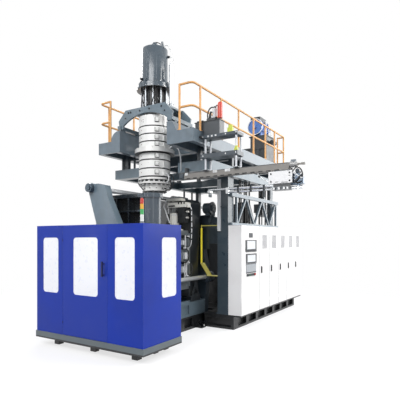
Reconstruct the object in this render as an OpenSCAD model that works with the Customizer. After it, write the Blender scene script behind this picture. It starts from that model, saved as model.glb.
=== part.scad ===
// Accumulator-head blow moulding machine for drums.
// The origin is on the floor, under the die head's axis at the middle of the mould.
// +X is the take-out side, +Y runs back along the extruder, +Z is up.

/* [Mould] */
// Width of each mould half
mould_w = 840; // [760:10:860]
// Lowest face of the mould above the floor
mould_bottom = 860; // [840:10:900]
// Height of the mould
mould_h = 1240; // [1200:10:1280]
// Depth of one mould half
mould_half_t = 330; // [325:5:345]
// Clear distance between the mould halves when open
mould_daylight = 600; // [580:10:620]
// Radius of the drum's body in the cavity
drum_r = 280; // [240:5:285]
// Height of the drum's body in the cavity
drum_h = 930; // [880:10:960]
// Height of the drum's rolling hoops over its body
hoop_rise = 12; // [6:1:16]

/* [Clamp] */
// Thickness of the front platen
front_platen_t = 320; // [300:10:340]
// Thickness of the rear platen
rear_platen_t = 360; // [320:10:380]
// Top of the front platen above the floor
front_platen_top = 2700; // [2660:10:2710]
// Top of the rear platen above the floor
rear_platen_top = 2765; // [2700:5:2780]
// Half width of the platens at the top
platen_half_w = 500; // [470:10:520]
// Radius of the round end columns of the front platen
end_column_r = 172; // [150:2:180]
// Distance of the end columns from the machine's centre
end_column_x = 560; // [540:5:580]
// Diameter of the tie bars
tie_bar_d = 95; // [80:1:110]
// Height of the upper tie bar
upper_bar_z = 2850; // [2840:5:2880]
// Distance of the upper tie bar from the centre
upper_bar_x = 410; // [380:5:440]
// Height of the lower tie bars
lower_bar_z = 1080; // [1040:10:1120]
// Distance of the lower tie bars from the centre
lower_bar_x = 520; // [500:5:540]
// Thickness of the tail plates
tail_plate_t = 140; // [120:5:160]
// Distance of the tail plates' inner faces from the mould plane
tail_plate_y = 1200; // [1190:5:1210]
// Radius of the clamp cylinders' rods
clamp_rod_r = 70; // [55:1:80]
// Inner radius of the clamp cylinders
clamp_bore_r = 115; // [100:1:125]
// Height of the clamp cylinders' axis
clamp_axis_z = 1480; // [1440:10:1520]

/* [Bases] */
// Half width of the clamp's base
clamp_base_half_w = 480; // [470:5:490]
// Height of the clamp's base
clamp_base_h = 280; // [270:5:300]
// Length of the clamp's base beyond the tail plates
base_reach = 160; // [140:5:170]
// Height of the grey bed beams on the base
bed_h = 300; // [280:5:310]
// Half width of the black rear base
rear_base_half_w = 1290; // [1260:10:1300]
// Height of the rear base
rear_base_h = 310; // [290:5:320]
// Front face of the rear base
rear_base_y = 1040; // [1030:5:1060]
// Distance between the anchor holes across the machine
anchor_spacing_x = 1120; // [1110:5:1150]
// Distance between the anchor holes along the machine
anchor_spacing_y = 1800; // [1700:10:1900]
// Diameter of the anchor holes
anchor_hole_d = 26; // [18:1:32]

/* [Cabin] */
// Width of the blue cabin
cabin_w = 2510; // [2480:10:2540]
// Distance of the cabin's front face from the end of the clamp's base
cabin_reach = 365; // [360:5:400]
// Depth of the cabin
cabin_d = 1000; // [980:10:1020]
// Lower edge of the blue panels
cabin_z = 255; // [250:5:270]
// Top of the blue panels
cabin_top = 2155; // [2100:5:2200]
// Thickness of the folded panels
panel_t = 30; // [24:1:40]
// Left edge of the door
door_x0 = -550; // [-560:5:-540]
// Right edge of the door
door_x1 = 510; // [500:5:520]
// Lower edge of the windows
window_z0 = 970; // [900:10:1000]
// Upper edge of the windows
window_z1 = 1943; // [1900:1:1960]
// Radius of the windows' corners
window_corner_r = 60; // [20:5:80]

/* [Frame] */
// Inner face of the columns from the centre
column_x0 = 912; // [905:1:920]
// Outer face of the columns from the centre
column_x1 = 1168; // [1150:1:1170]
// Front face of the front columns
column_y = 1015; // [1010:5:1020]
// Depth of the columns
column_d = 255; // [240:5:260]
// Underside of the ring beams on the columns
ring_z = 3260; // [3240:5:3300]
// Height of the ring beams
ring_h = 200; // [180:5:220]
// Half width of the ring frame
ring_half_w = 1240; // [1230:5:1245]
// Front face of the ring frame
ring_y = 145; // [130:5:160]

/* [Platform] */
// Half width of the platform
platform_half_w = 1200; // [1190:5:1205]
// Front face of the platform
platform_y = -395; // [-410:5:-380]
// Rear end of the platform
platform_end_y = 4900; // [4850:10:4950]
// Underside of the platform beams
platform_z = 3710; // [3700:5:3720]
// Height of the platform with its deck
platform_h = 240; // [220:5:250]
// Half width of the slot for the head
slot_half_w = 600; // [580:5:610]
// Height of the saddles that carry the yoke
saddle_h = 200; // [180:5:205]
// Height of the handrail over the deck
rail_h = 850; // [800:10:1000]
// Height of the middle rail over the deck
mid_rail_h = 425; // [400:5:500]
// Diameter of the handrail tube
rail_d = 42; // [34:1:48]

/* [Head] */
// Radius of the head's core
head_r = 300; // [280:2:305]
// Thickness of the heater bands
band_t = 20; // [12:1:22]
// Radius of the head's carrying flange
head_flange_r = 405; // [380:5:420]
// Height of the die under the lower body
die_h = 140; // [130:5:150]
// Radius of the die's holder
die_r = 250; // [240:2:260]
// Gap of the die
die_gap = 12; // [6:1:16]
// Height of the lower body, under the carrying flange
lower_body_h = 630; // [610:5:640]
// Height of the carrying flange
head_flange_h = 110; // [100:5:115]
// Height of the upper body, over the carrying flange
upper_body_h = 640; // [620:5:650]
// Distance of the upper body's top under the yoke's top face
hub_h = 160; // [155:5:180]
// Height of the yoke over the saddles
yoke_h = 410; // [400:5:430]
// Length of the cage between the yoke and the ram
cage_h = 390; // [370:10:400]
// Radius of the circle of cage rods
cage_r = 262; // [250:2:264]
// Number of cage rods
cage_rods = 10; // [8:1:12]
// Radius of the ram's flange
ram_flange_r = 365; // [340:5:375]
// Radius of the ram cylinder
ram_r = 237; // [220:1:245]
// Height of the ram cylinder above its flange
ram_h = 765; // [700:5:780]
// Radius of the piston rod
piston_rod_r = 80; // [60:1:90]

/* [Extruder] */
// Height of the extruder's axis over the deck
extruder_rise = 250; // [240:5:260]
// Radius of the barrel
barrel_r = 95; // [85:1:100]
// Radius of the screw's bore
screw_bore_r = 60; // [50:1:65]
// Front face of the gearbox
gearbox_y = 4150; // [4140:5:4160]
// Length of the gearbox
gearbox_l = 600; // [560:10:620]
// Radius of the drive motor
motor_r = 235; // [220:1:240]

/* [Cabinets] */
// Outer face of the cabinets
cabinet_x = 1480; // [1470:5:1490]
// Front face of the cabinets
cabinet_y = 1024; // [1020:1:1030]
// Length of the control section
control_l = 919; // [900:1:930]
// Width of each cabinet door
cabinet_door_w = 599; // [590:1:600]
// Number of cabinet doors
cabinet_doors = 5; // [5]
// Top of the cabinets
cabinet_top = 2210; // [2180:5:2212]
// Thickness of the cabinet doors
cabinet_door_t = 24; // [18:1:30]

/* [Take-out] */
// Left end of the take-out beam
beam_x0 = 660; // [640:10:680]
// Right end of the take-out beam
beam_x1 = 2870; // [2840:5:2880]
// Underside of the take-out beam
beam_z = 3080; // [3075:5:3090]
// Side of the take-out beam's square section
beam_side = 120; // [110:5:125]
// Width of the carriage plate
carriage_w = 415; // [380:5:430]
// Right edge of the carriage at rest
carriage_x1 = 2965; // [2950:5:2970]
// Radius of the take-out arm's upper rod
arm_r = 22; // [18:1:24]
// Height of the upper arm rod
arm_z = 2838; // [2836:1:2840]

/* [Hidden] */
$fn = 48;

// Clearance between pieces that slide or turn on each other
running_gap = 0.3;
// Radial clearance of a turning or sliding shaft in its bearing
bearing_gap = 0.08;
// Clearance of a bolt or bar in its hole
fit_gap = 0.4;

// Open halves stand half the daylight from the mould plane
parting_y = mould_daylight / 2;
mount_y = parting_y + mould_half_t;
clamp_base_half_l = tail_plate_y + tail_plate_t + base_reach;
mould_top = mould_bottom + mould_h;
front_outer_y = mount_y + front_platen_t;
rear_outer_y = mount_y + rear_platen_t;
tail_outer_y = tail_plate_y + tail_plate_t;
bed_top = clamp_base_h + bed_h;
guide_x0 = clamp_base_half_w - 80;
guide_w = 60;
guide_h = 32;
platen_bottom = bed_top + 120;
nut_r = tie_bar_d / 2 + 33;
nut_h = 80;
bar_half_l = tail_outer_y + nut_h + 20;
clamp_stroke = parting_y - 0.5;
clamp_flange_t = 50;
clamp_chamber_l = clamp_stroke + 50.5;
clamp_piston_t = 45;
clamp_cap_t = 50;
ram_flange_t = 40;

cabin_half_w = cabin_w / 2;
cabin_y = -clamp_base_half_l - cabin_reach;
cabin_back_y = cabin_y + cabin_d;
tray_z = cabin_z - 115;
tray_proud = 14;
door_gap = 4;

column_top = ring_z;
rear_column_y = 3400;
rear_column_w = 100;
rear_column_d = 140;
duct_x = 925;
duct_w = 72;
duct_z0 = 2093;
duct_z1 = 3200;
chord_z = 2835;
chord_h = 80;
lower_chord_z = cabinet_top + 8;
lower_chord_h = 56;
chord_w = 64;
truss_y0 = 1090;
truss_y1 = 3760;
panel_pitch = 900;
first_node_y = 1370;

deck_t = 20;
deck_z = platform_z + platform_h;
platform_beam_w = 120;
fascia_t = 30;
slot_end_y = 450;
saddle_top = deck_z + saddle_h;
saddle_w = 160;
saddle_half_l = 395;
post_ys = [-113, 699, 1502, 2297, 3022, 3649, 4336];
rail_end_y = 4380;
rail_x = platform_half_w - rail_d / 2 - 4;
rail_front_y = platform_y + rail_d / 2 + 4;
rail_front_x = 880;

yoke_top = saddle_top + yoke_h;
upper_body_top = yoke_top - hub_h;
flange_top = upper_body_top - upper_body_h;
lower_body_top = flange_top - head_flange_h;
lower_body_z = lower_body_top - lower_body_h;
die_z = lower_body_z - die_h;
yoke_plate_y = 290;
yoke_plate_t = 40;
yoke_foot_z = saddle_top + 40;
yoke_foot_h = 72;
band_r = head_r + band_t;
joint_gap = 14;
upper_joints = [for (part = [0, 0.17, 0.405, 0.65, 1]) flange_top + part * upper_body_h];
lower_joints = [for (part = [0.24, 0.495, 0.77, 1]) lower_body_z + part * lower_body_h];
ram_flange_z = yoke_top + cage_h;
ram_flange_h = 100;
ram_z = ram_flange_z + ram_flange_h;
ram_top = ram_z + ram_h;
ram_bore_r = 180;
crosshead_z = yoke_top + 90;

extruder_z = deck_z + extruder_rise;
barrel_y0 = 400;
barrel_y1 = gearbox_y;
throat_y0 = 3300;
shank_r = screw_bore_r - 8;
throat_l = 320;
throat_top = extruder_z + 220;
gearbox_x0 = -200;
gearbox_x1 = 740;
gearbox_step_z = 4560;
gearbox_top = 4900;
motor_x = 351;
motor_z = gearbox_top + 60 + motor_r;
motor_y0 = 4240;
motor_l = 560;

cabinet_d = 310;
cabinet_x0 = cabinet_x - cabinet_d;
cabinet_z = rear_base_h;
doors_y = cabinet_y + control_l;
cabinet_end_y = doors_y + cabinet_doors * cabinet_door_w;
cabinet_wall = 30;
console_t = 15;

beam_half = beam_side / 2;
beam_top = beam_z + beam_side;
hanger_x = [1280, 1919];
hanger_y = 93;
hanger_post_r = 18;
shelf_z = 3795;
shelf_h = 55;
low_shelf_z = 3425;
low_shelf_h = 80;
low_arm_r = 16;
tip_x = 1350;
low_arm_z = arm_z - 62;

// Block between two opposite corners
module block(low, high) {
    translate(low) cube(high - low);
}

// Round bar along Y
module bar_y(x, z, r, y0, y1) {
    translate([x, y0, z]) rotate([-90, 0, 0]) cylinder(r = r, h = y1 - y0);
}

// Round bar along X
module bar_x(y, z, r, x0, x1) {
    translate([x0, y, z]) rotate([0, 90, 0]) cylinder(r = r, h = x1 - x0);
}

// Round bar along Z
module bar_z(x, y, r, z0, z1) {
    translate([x, y, z0]) cylinder(r = r, h = z1 - z0);
}

// Outline in X and Z pushed along Y
module along_y(y0, y1) {
    translate([0, y1, 0]) rotate([90, 0, 0]) linear_extrude(y1 - y0) children();
}

// Outline in Y and Z pushed along X
module along_x(x0, x1) {
    translate([x0, 0, 0]) rotate([90, 0, 90]) linear_extrude(x1 - x0) children();
}

module both_sides() {
    children();
    mirror([1, 0, 0]) children();
}

module front_and_back() {
    children();
    mirror([0, 1, 0]) children();
}

// Rectangle with round corners, drawn from its low corner
module round_rect(w, h, r) {
    translate([r, 0]) square([w - 2 * r, h]);
    translate([0, r]) square([w, h - 2 * r]);
    for (x = [r, w - r], y = [r, h - r])
        translate([x, y]) circle(r);
}

module at_polar(r, a, z) {
    translate([r * cos(a), r * sin(a), z]) children();
}

// Long recess in the side of a base
module side_recess(x, y0, y1, z0, z1, depth) {
    block([x - depth, y0, z0], [x + 1, y1, z1]);
}

// Places of the three tie bars in X and Z
bar_places = [[-upper_bar_x, upper_bar_z], [lower_bar_x, lower_bar_z], [-lower_bar_x, lower_bar_z]];

/* Clamp */

module anchor_foot(x, y) {
    foot = 160;
    foot_t = 20;
    difference() {
        block([x - foot / 2, y - foot / 2, 0], [x + foot / 2, y + foot / 2, foot_t]);
        translate([x, y, -1]) cylinder(d = anchor_hole_d, h = foot_t + 2);
    }
    for (side = [-1, 1])
        along_y(y + side * 62 - 6, y + side * 62 + 6)
            polygon([[x - foot / 2, foot_t], [x + 50, foot_t], [x - foot / 2, 150]]);
}

module clamp_base() {
    color("#16191c") {
        difference() {
            block([-clamp_base_half_w, -clamp_base_half_l, 0],
                  [clamp_base_half_w, clamp_base_half_l, clamp_base_h]);
            both_sides() {
                for (y = [-1400, -720, 380, 1090])
                    side_recess(clamp_base_half_w, y, y + 300, 60, clamp_base_h - 40, 70);
            }
        }
        both_sides() front_and_back()
            anchor_foot(anchor_spacing_x / 2, anchor_spacing_y / 2);
    }
}

module clamp_bed() {
    end_y = tail_plate_y;
    pedestal_top = mould_bottom - 160;
    color("#77838c") {
        difference() {
            union() {
                both_sides() {
                    block([clamp_base_half_w - 120, -end_y, clamp_base_h],
                          [clamp_base_half_w, end_y, bed_top]);
                    block([guide_x0, -mount_y - 420, bed_top],
                          [guide_x0 + guide_w, mount_y + 420, bed_top + guide_h]);
                }
                front_and_back()
                    block([-clamp_base_half_w + 100, end_y - 120, clamp_base_h],
                          [clamp_base_half_w - 100, end_y, bed_top]);
                block([-clamp_base_half_w + 100, -130, clamp_base_h],
                      [clamp_base_half_w - 100, 130, clamp_base_h + 160]);
                block([-150, -110, clamp_base_h + 160], [150, 110, pedestal_top]);
            }
            translate([0, 0, clamp_base_h + 20])
                cylinder(r = 30 + bearing_gap, h = pedestal_top);
            both_sides()
                side_recess(clamp_base_half_w, 160 - end_y, 560, clamp_base_h + 60, bed_top - 60, 30);
        }
    }
}

// Tail plate with its arm to the upper tie bar
module tail_plate_outline() {
    difference() {
        union() {
            polygon([
                [-clamp_base_half_w, clamp_base_h], [clamp_base_half_w, clamp_base_h],
                [lower_bar_x, lower_bar_z - 120], [lower_bar_x + 40, lower_bar_z + 120],
                [380, 1900], [240, 2200], [-10, 2680], [-upper_bar_x + 340, upper_bar_z + 35],
                [-upper_bar_x + 190, upper_bar_z + 70], [-upper_bar_x, upper_bar_z + 80],
                [-upper_bar_x - 70, upper_bar_z - 60], [-285, 2200], [-400, 1800],
                [-lower_bar_x - 40, lower_bar_z + 120], [-lower_bar_x, lower_bar_z - 120]
            ]);
            for (place = bar_places)
                translate(place) circle(r = place[1] > 2000 ? 95 : 135);
        }
        for (place = bar_places)
            translate(place) circle(d = tie_bar_d + 2 * fit_gap);
        translate([0, clamp_axis_z]) circle(r = clamp_rod_r + 8);
    }
}

module tail_plate() {
    along_y(-tail_outer_y, -tail_plate_y) tail_plate_outline();
    for (side = [-1, 1])
        difference() {
            bar_y(side * lower_bar_x, lower_bar_z, 118, -tail_plate_y, -tail_plate_y + 68);
            bar_y(side * lower_bar_x, lower_bar_z, tie_bar_d / 2 + fit_gap,
                  -tail_plate_y - 1, -tail_plate_y + 70);
        }
}

module front_tail_plate() {
    color("#8a979f") tail_plate();
}

module rear_tail_plate() {
    pump_y = tail_plate_y - 90;
    color("#5c6972") {
        mirror([0, 1, 0]) tail_plate();
        along_y(tail_plate_y + 10, tail_outer_y - 10)
            polygon([[200, 1700], [840, 1700], [840, 2290], [760, 2400], [560, 2470], [160, 2440]]);
        bar_x(pump_y, 2600, 118, 540, 720);
        bar_x(pump_y, 2600, 140, 720, 745);
        bar_x(pump_y, 2600, 70, 745, 775);
        block([580, pump_y - 60, 2440], [680, tail_outer_y - 20, 2500]);
        block([600, pump_y + 40, 2300], [660, tail_plate_y + 20, 2440]);
    }
}

module tie_bars() {
    color("#b9bcbd")
    for (place = bar_places) {
        bar_y(place[0], place[1], tie_bar_d / 2, -bar_half_l, bar_half_l);
        front_and_back() difference() {
            bar_y(place[0], place[1], nut_r, tail_outer_y, tail_outer_y + nut_h);
            bar_y(place[0], place[1], tie_bar_d / 2 + running_gap,
                  tail_outer_y - 1, tail_outer_y + nut_h + 1);
        }
    }
}

// One clamp cylinder on the outer face of the front tail plate
module clamp_cylinder() {
    y_flange = -tail_outer_y - clamp_flange_t;
    y_end = y_flange - clamp_chamber_l;
    difference() {
        union() {
            bar_y(0, clamp_axis_z, clamp_bore_r + 95, y_flange, -tail_outer_y);
            bar_y(0, clamp_axis_z, clamp_bore_r + 45, y_end, y_flange);
            bar_y(0, clamp_axis_z, clamp_bore_r + 60, y_end - clamp_cap_t, y_end);
            bar_y(0, clamp_axis_z, clamp_bore_r + 58, y_flange - 40, y_flange);
            for (y = [y_end + 30, y_flange - 90])
                block([-40, y - 30, clamp_axis_z + clamp_bore_r + 20],
                      [40, y + 30, clamp_axis_z + clamp_bore_r + 85]);
        }
        bar_y(0, clamp_axis_z, clamp_bore_r, y_end, y_flange);
        bar_y(0, clamp_axis_z, clamp_rod_r + bearing_gap, y_flange - 1, -tail_outer_y + 1);
    }
}

module clamp_cylinders() {
    color("#39444c") front_and_back() clamp_cylinder();
}

module clamp_ram(outer_y) {
    piston_y = -tail_outer_y - clamp_flange_t - clamp_chamber_l + 5;
    bar_y(0, clamp_axis_z, clamp_rod_r + 50, -outer_y - ram_flange_t, -outer_y);
    bar_y(0, clamp_axis_z, clamp_rod_r, piston_y, -outer_y - ram_flange_t);
    bar_y(0, clamp_axis_z, clamp_bore_r - running_gap, piston_y, piston_y + clamp_piston_t);
}

module front_ram() {
    color("#d4d7d9") clamp_ram(front_outer_y);
}

module rear_ram() {
    color("#d4d7d9") mirror([0, 1, 0]) clamp_ram(rear_outer_y);
}

// Shoes on the guide rails
module guide_shoes(outer_y) {
    both_sides() difference() {
        block([guide_x0 - 30, -outer_y, bed_top + 10],
              [guide_x0 + guide_w + 30, -mount_y, platen_bottom]);
        block([guide_x0 - fit_gap, -outer_y - 1, bed_top],
              [guide_x0 + guide_w + fit_gap, -mount_y + 1, bed_top + guide_h + running_gap]);
    }
}

module front_platen() {
    rib = 24;
    rib_x = [-438, -162, 134, 438];
    rim_t = 80;
    pocket_z = [[platen_bottom + 60, clamp_axis_z - 260], [clamp_axis_z + 260, 2140],
                [2160, 2417], [2441, front_platen_top - 24]];
    color("#2f383f") {
        difference() {
            union() {
                block([-end_column_x, -front_outer_y, platen_bottom],
                      [end_column_x, -mount_y, front_platen_top]);
                both_sides()
                    bar_z(end_column_x, -(mount_y + front_outer_y) / 2, end_column_r,
                          platen_bottom, front_platen_top);
                guide_shoes(front_outer_y);
            }
            for (i = [0:2], zs = pocket_z)
                block([rib_x[i] + rib / 2, -front_outer_y - 1, zs[0]],
                      [rib_x[i + 1] - rib / 2, -front_outer_y + 190, zs[1]]);
            both_sides()
                bar_y(lower_bar_x, lower_bar_z, tie_bar_d / 2 + bearing_gap,
                      -front_outer_y - 40, -mount_y + 40);
        }
        difference() {
            union() {
                block([-end_column_x, -front_outer_y - 10, front_platen_top],
                      [end_column_x, -mount_y, front_platen_top + 42]);
                both_sides()
                    bar_z(end_column_x, -(mount_y + front_outer_y) / 2, end_column_r + 24,
                          front_platen_top - rim_t + 42, front_platen_top + 42);
            }
            block([-end_column_x - end_column_r - 30, -mount_y, front_platen_top - rim_t],
                  [end_column_x + end_column_r + 30, -mount_y + 60, front_platen_top + 60]);
        }
    }
}

module drum_profile() {
    chime = 60;
    hoop_half = 26;
    polygon(concat(
        [[0, 0]],
        [for (a = [0:15:90]) [drum_r - chime + chime * sin(a), chime - chime * cos(a)]],
        [for (h = [drum_h * 0.34, drum_h * 0.66], s = [-1, -0.4, 0.4, 1])
            [drum_r + (abs(s) < 0.5 ? hoop_rise : 0), h + s * hoop_half]],
        [for (a = [0:15:90]) [drum_r - chime + chime * cos(a), drum_h - chime + chime * sin(a)]],
        [[0, drum_h]]
    ));
}

// The front half of the mould, with its face at the parting plane
module mould_half() {
    cavity_z = mould_bottom + 140;
    port_r = 11;
    difference() {
        union() {
            block([-mould_w / 2, -mount_y, mould_bottom], [mould_w / 2, -parting_y, mould_top]);
            block([-mould_w / 2 - 40, -mount_y, mould_bottom + 60],
                  [mould_w / 2 + 40, -mount_y + 60, mould_top - 60]);
        }
        translate([0, -parting_y, cavity_z]) rotate_extrude() drum_profile();
        translate([0, -parting_y, mould_bottom - 1]) cylinder(r = 46, h = 160);
        for (z = [mould_bottom + 110 : 170 : mould_top - 60], y = [-mount_y + 110, -parting_y - 70])
            both_sides() bar_x(y, z, port_r, mould_w / 2 - 40, mould_w / 2 + 1);
        both_sides() block([mould_w / 2 - 60, -parting_y - 26, mould_bottom + 300],
                               [mould_w / 2 + 1, -parting_y + 1, mould_bottom + 420]);
    }
}

module front_mould() {
    color("#b4b8ba") mould_half();
}

module rear_mould() {
    color("#b4b8ba") mirror([0, 1, 0]) mould_half();
}

module rear_platen_outline() {
    corner = 60;
    waist_z = lower_bar_z + 370;
    waist_half_w = platen_half_w - 70;
    polygon([
        [-platen_half_w + corner, rear_platen_top], [platen_half_w - corner, rear_platen_top],
        [platen_half_w, rear_platen_top - corner], [waist_half_w, waist_z],
        [waist_half_w, platen_bottom], [-waist_half_w, platen_bottom],
        [-waist_half_w, waist_z], [-platen_half_w, rear_platen_top - corner]
    ]);
}

module rear_platen() {
    rib = 24;
    rib_x = [-410, -150, 150, 410];
    pocket_z = [[platen_bottom + 60, clamp_axis_z - 260], [clamp_axis_z + 260, 2180],
                [2204, rear_platen_top - 90]];
    color("#343e46") {
        difference() {
            mirror([0, 1, 0]) along_y(-rear_outer_y, -mount_y) rear_platen_outline();
            for (i = [0:2], zs = pocket_z)
                block([rib_x[i] + rib / 2, rear_outer_y - 200, zs[0]],
                      [rib_x[i + 1] - rib / 2, rear_outer_y + 1, zs[1]]);
        }
        mirror([0, 1, 0]) guide_shoes(rear_outer_y);
        both_sides() difference() {
            along_x(guide_x0 + guide_w + 8, guide_x0 + guide_w + 28)
                polygon([[mount_y + 40, platen_bottom], [rear_outer_y - 40, platen_bottom],
                         [mount_y + 210, lower_bar_z - 95], [mount_y + 150, lower_bar_z - 95]]);
            along_x(guide_x0, guide_x0 + guide_w + 40)
                polygon([[mount_y + 110, platen_bottom + 30], [rear_outer_y - 110, platen_bottom + 30],
                         [mount_y + 182, lower_bar_z - 170]]);
        }
    }
}

module mould_top_unit() {
    cyl_x = 204;
    cyl_y = mount_y - 180;
    plate_z = mould_top + 485;
    color("#e6e8e8") {
        block([60, mount_y - 270, mould_top], [340, mount_y - 90, mould_top + 30]);
        bar_z(cyl_x, cyl_y, 78, mould_top + 30, plate_z);
        bar_z(cyl_x - 114, cyl_y, 22, mould_top + 30, plate_z);
        bar_z(cyl_x, cyl_y, 97, mould_top + 380, mould_top + 400);
        difference() {
            block([60, mount_y - 270, plate_z], [530, mount_y - 90, plate_z + 100]);
            for (x = [330, 400, 470])
                block([x, mount_y - 271, plate_z + 60], [x + 38, mount_y - 220, plate_z + 101]);
        }
        for (x = [90, 330])
            bar_z(x, cyl_y, 24, plate_z + 100, plate_z + 140);
        block([20, mount_y - 260, plate_z + 140], [400, mount_y - 100, plate_z + 190]);
        block([310, mount_y - 255, plate_z - 325], [480, mount_y - 105, plate_z]);
        bar_x(cyl_y, plate_z - 90, 20, 480, 540);
        bar_x(cyl_y, plate_z - 220, 20, 480, 540);
    }
}

module blow_pin() {
    collar_z = mould_bottom - 160 + running_gap;
    color("#c9ccce") {
        bar_z(0, 0, 30, clamp_base_h + 40, mould_bottom - 90);
        bar_z(0, 0, 60, collar_z, collar_z + 24);
        translate([0, 0, mould_bottom - 90]) cylinder(r1 = 30, r2 = 18, h = 20);
    }
}

/* Rear base and frame */

module rear_base() {
    notch_x = clamp_base_half_w + 90;
    notch_y = clamp_base_half_l + 60;
    color("#1b1f23") {
        both_sides() for (y = [rear_base_y + 5, clamp_base_half_l - 100])
            block([clamp_base_half_w, y, 40], [notch_x, y + 44, 100]);
        difference() {
            block([-rear_base_half_w, rear_base_y, 0],
                  [rear_base_half_w, platform_end_y, rear_base_h - 30]);
            block([-notch_x, rear_base_y - 1, -1], [notch_x, notch_y, rear_base_h]);
            both_sides() {
                for (y = [1260 : 520 : 4700])
                    side_recess(rear_base_half_w, y, min(y + 400, platform_end_y - 100),
                                50, rear_base_h - 90, 80);
                block([notch_x + 60, rear_base_y - 1, 50], [rear_base_half_w - 60, rear_base_y + 70,
                      rear_base_h - 90]);
            }
        }
        difference() {
            block([-rear_base_half_w - 30, rear_base_y - 20, rear_base_h - 30],
                  [cabinet_x - 10, platform_end_y + 30, rear_base_h]);
            block([-notch_x, rear_base_y - 21, rear_base_h - 31],
                  [notch_x, notch_y, rear_base_h + 1]);
        }
        along_x(450, 750)
            polygon([[2600, rear_base_h], [3360, rear_base_h], [3360, 2300], [3010, 2880],
                     [2900, 2880], [2600, 2300]]);
        block([-700, 2300, rear_base_h], [450, 3250, 1250]);
        bar_z(-300, 2700, 150, 1250, 1700);
    }
}

module column(y, w, d) {
    block([column_x1 - w, y, rear_base_h], [column_x1, y + d, column_top]);
    block([column_x1 - w - 30, y - 12, rear_base_h], [column_x1 - w, y + d, rear_base_h + 24]);
}

module columns() {
    color("#47535c") both_sides() {
        column(column_y, column_x1 - column_x0, column_d);
        column(rear_column_y, rear_column_w, rear_column_d);
        block([duct_x, column_y - 34, duct_z0], [duct_x + duct_w, column_y, duct_z1]);
        bar_x(column_y - 12, 2610, 14, duct_x + duct_w, 1130);
    }
}

// Flat diagonal of the side truss between two points in Y and Z
module diagonal(a, b, w) {
    run = b - a;
    l = norm(run);
    off = [-run[1], run[0]] * (w / 2 / l);
    polygon([a - off, b - off, b + off, a + off]);
}

module trusses() {
    x0 = column_x1;
    top_z = chord_z + 6;
    low_z = lower_chord_z + lower_chord_h - 6;
    color("#93a0a9") both_sides() {
        block([x0, truss_y0, chord_z], [x0 + chord_w, truss_y1, chord_z + chord_h]);
        block([x0, truss_y0, lower_chord_z], [x0 + chord_w, truss_y1, lower_chord_z + lower_chord_h]);
        along_x(x0 + 8, x0 + chord_w - 8) {
            for (i = [0:2]) {
                y = first_node_y + i * panel_pitch;
                diagonal([y + 20, low_z], [y + panel_pitch / 2 - 16, top_z], 40);
                if (i < 2)
                    diagonal([y + panel_pitch / 2 + 16, top_z], [y + panel_pitch - 20, low_z], 40);
            }
            for (y = [first_node_y - 50, truss_y1 - 120])
                translate([y, low_z]) square([44, top_z - low_z]);
        }
    }
}

module ring_frame() {
    y1 = platform_end_y - 60;
    top_z = ring_z + ring_h;
    w = 140;
    color("#76838c") {
        both_sides() {
            block([480, ring_y, ring_z], [ring_half_w, ring_y + 200, top_z]);
            block([480, ring_y + 200, ring_z], [600, column_y + 20, top_z]);
        }
        both_sides() block([ring_half_w - w, ring_y + 200, ring_z],
                               [ring_half_w, rear_column_y + 280, top_z]);
        both_sides() block([ring_half_w - w, rear_column_y + 280, ring_z + 110],
                               [ring_half_w, y1, top_z]);
        both_sides() block([column_x0 - 60, column_y - 30, ring_z],
                               [ring_half_w - w, column_y + column_d + 30, top_z]);
        both_sides() block([column_x0 - 60, rear_column_y - 30, ring_z],
                               [ring_half_w - w, rear_column_y + 230, top_z]);
        for (y = [column_y + 20, 2400, rear_column_y + 40])
            block([-column_x0 + 60, y, ring_z + 20], [column_x0 - 60, y + 160, top_z - 20]);
        for (y = [4080, y1 - 160])
            block([w - ring_half_w, y, ring_z + 120], [ring_half_w - w, y + 160, top_z - 20]);
        both_sides() block([column_x0 - 60, 2400, ring_z + 20],
                               [ring_half_w - w, 2560, top_z - 20]);
    }
}

module frame_posts() {
    ring_top = ring_z + ring_h;
    x = min(platform_half_w - 50, ring_half_w - 90);
    color("#5e6b74") {
        for (y = [column_y + 135, 2480, rear_column_y + 100, 4300]) both_sides() {
            block([x - 45, y, ring_top + 14], [x + 45, y + 90, platform_z - 14]);
            block([x - 70, y - 20, ring_top], [ring_half_w - 20, y + 110, ring_top + 14]);
            block([x - 70, y - 20, platform_z - 14], [x + 70, y + 110, platform_z]);
        }
        for (x = [-946, 946])
            block([x - 40, ring_y + 60, ring_top], [x + 40, ring_y + 140, deck_z - deck_t]);
        bar_z(-756, ring_y + 100, 24, ring_top, deck_z - deck_t);
        bar_z(-1022, ring_y + 90, 14, ring_top, deck_z - deck_t);
        bar_z(-1090, ring_y + 100, 30, ring_top, platform_z);
        for (y = [2850, 3250], side = [-1, 1]) {
            x = side * (column_x1 + chord_w / 2);
            bar_z(x, y, 26, chord_z + chord_h + 50, ring_z);
            block([x - 30, y - 55, chord_z + chord_h], [x + 30, y + 55, chord_z + chord_h + 50]);
        }
        block([560, 4100, 2900], [640, 4220, ring_z + 120]);
        block([480, 3860, 2660], [740, 4420, 2900]);
        bar_y(600, 2640, 90, 3900, 4300);
    }
}

/* Platform */

// Beams under the deck
module platform_beams() {
    beam_top_z = deck_z - deck_t;
    w = platform_beam_w;
    both_sides() {
        block([platform_half_w - w, platform_y + fascia_t, platform_z],
              [platform_half_w, platform_end_y, beam_top_z]);
        block([slot_half_w, platform_y + fascia_t, platform_z],
              [slot_half_w + w, slot_end_y, beam_top_z]);
        block([slot_half_w, platform_y, platform_z],
              [platform_half_w, platform_y + fascia_t, beam_top_z]);
    }
    for (y = [slot_end_y, 1500, 2600, 3700, platform_end_y - w])
        block([-platform_half_w + w, y, platform_z], [platform_half_w - w, y + w, beam_top_z]);
}

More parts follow.
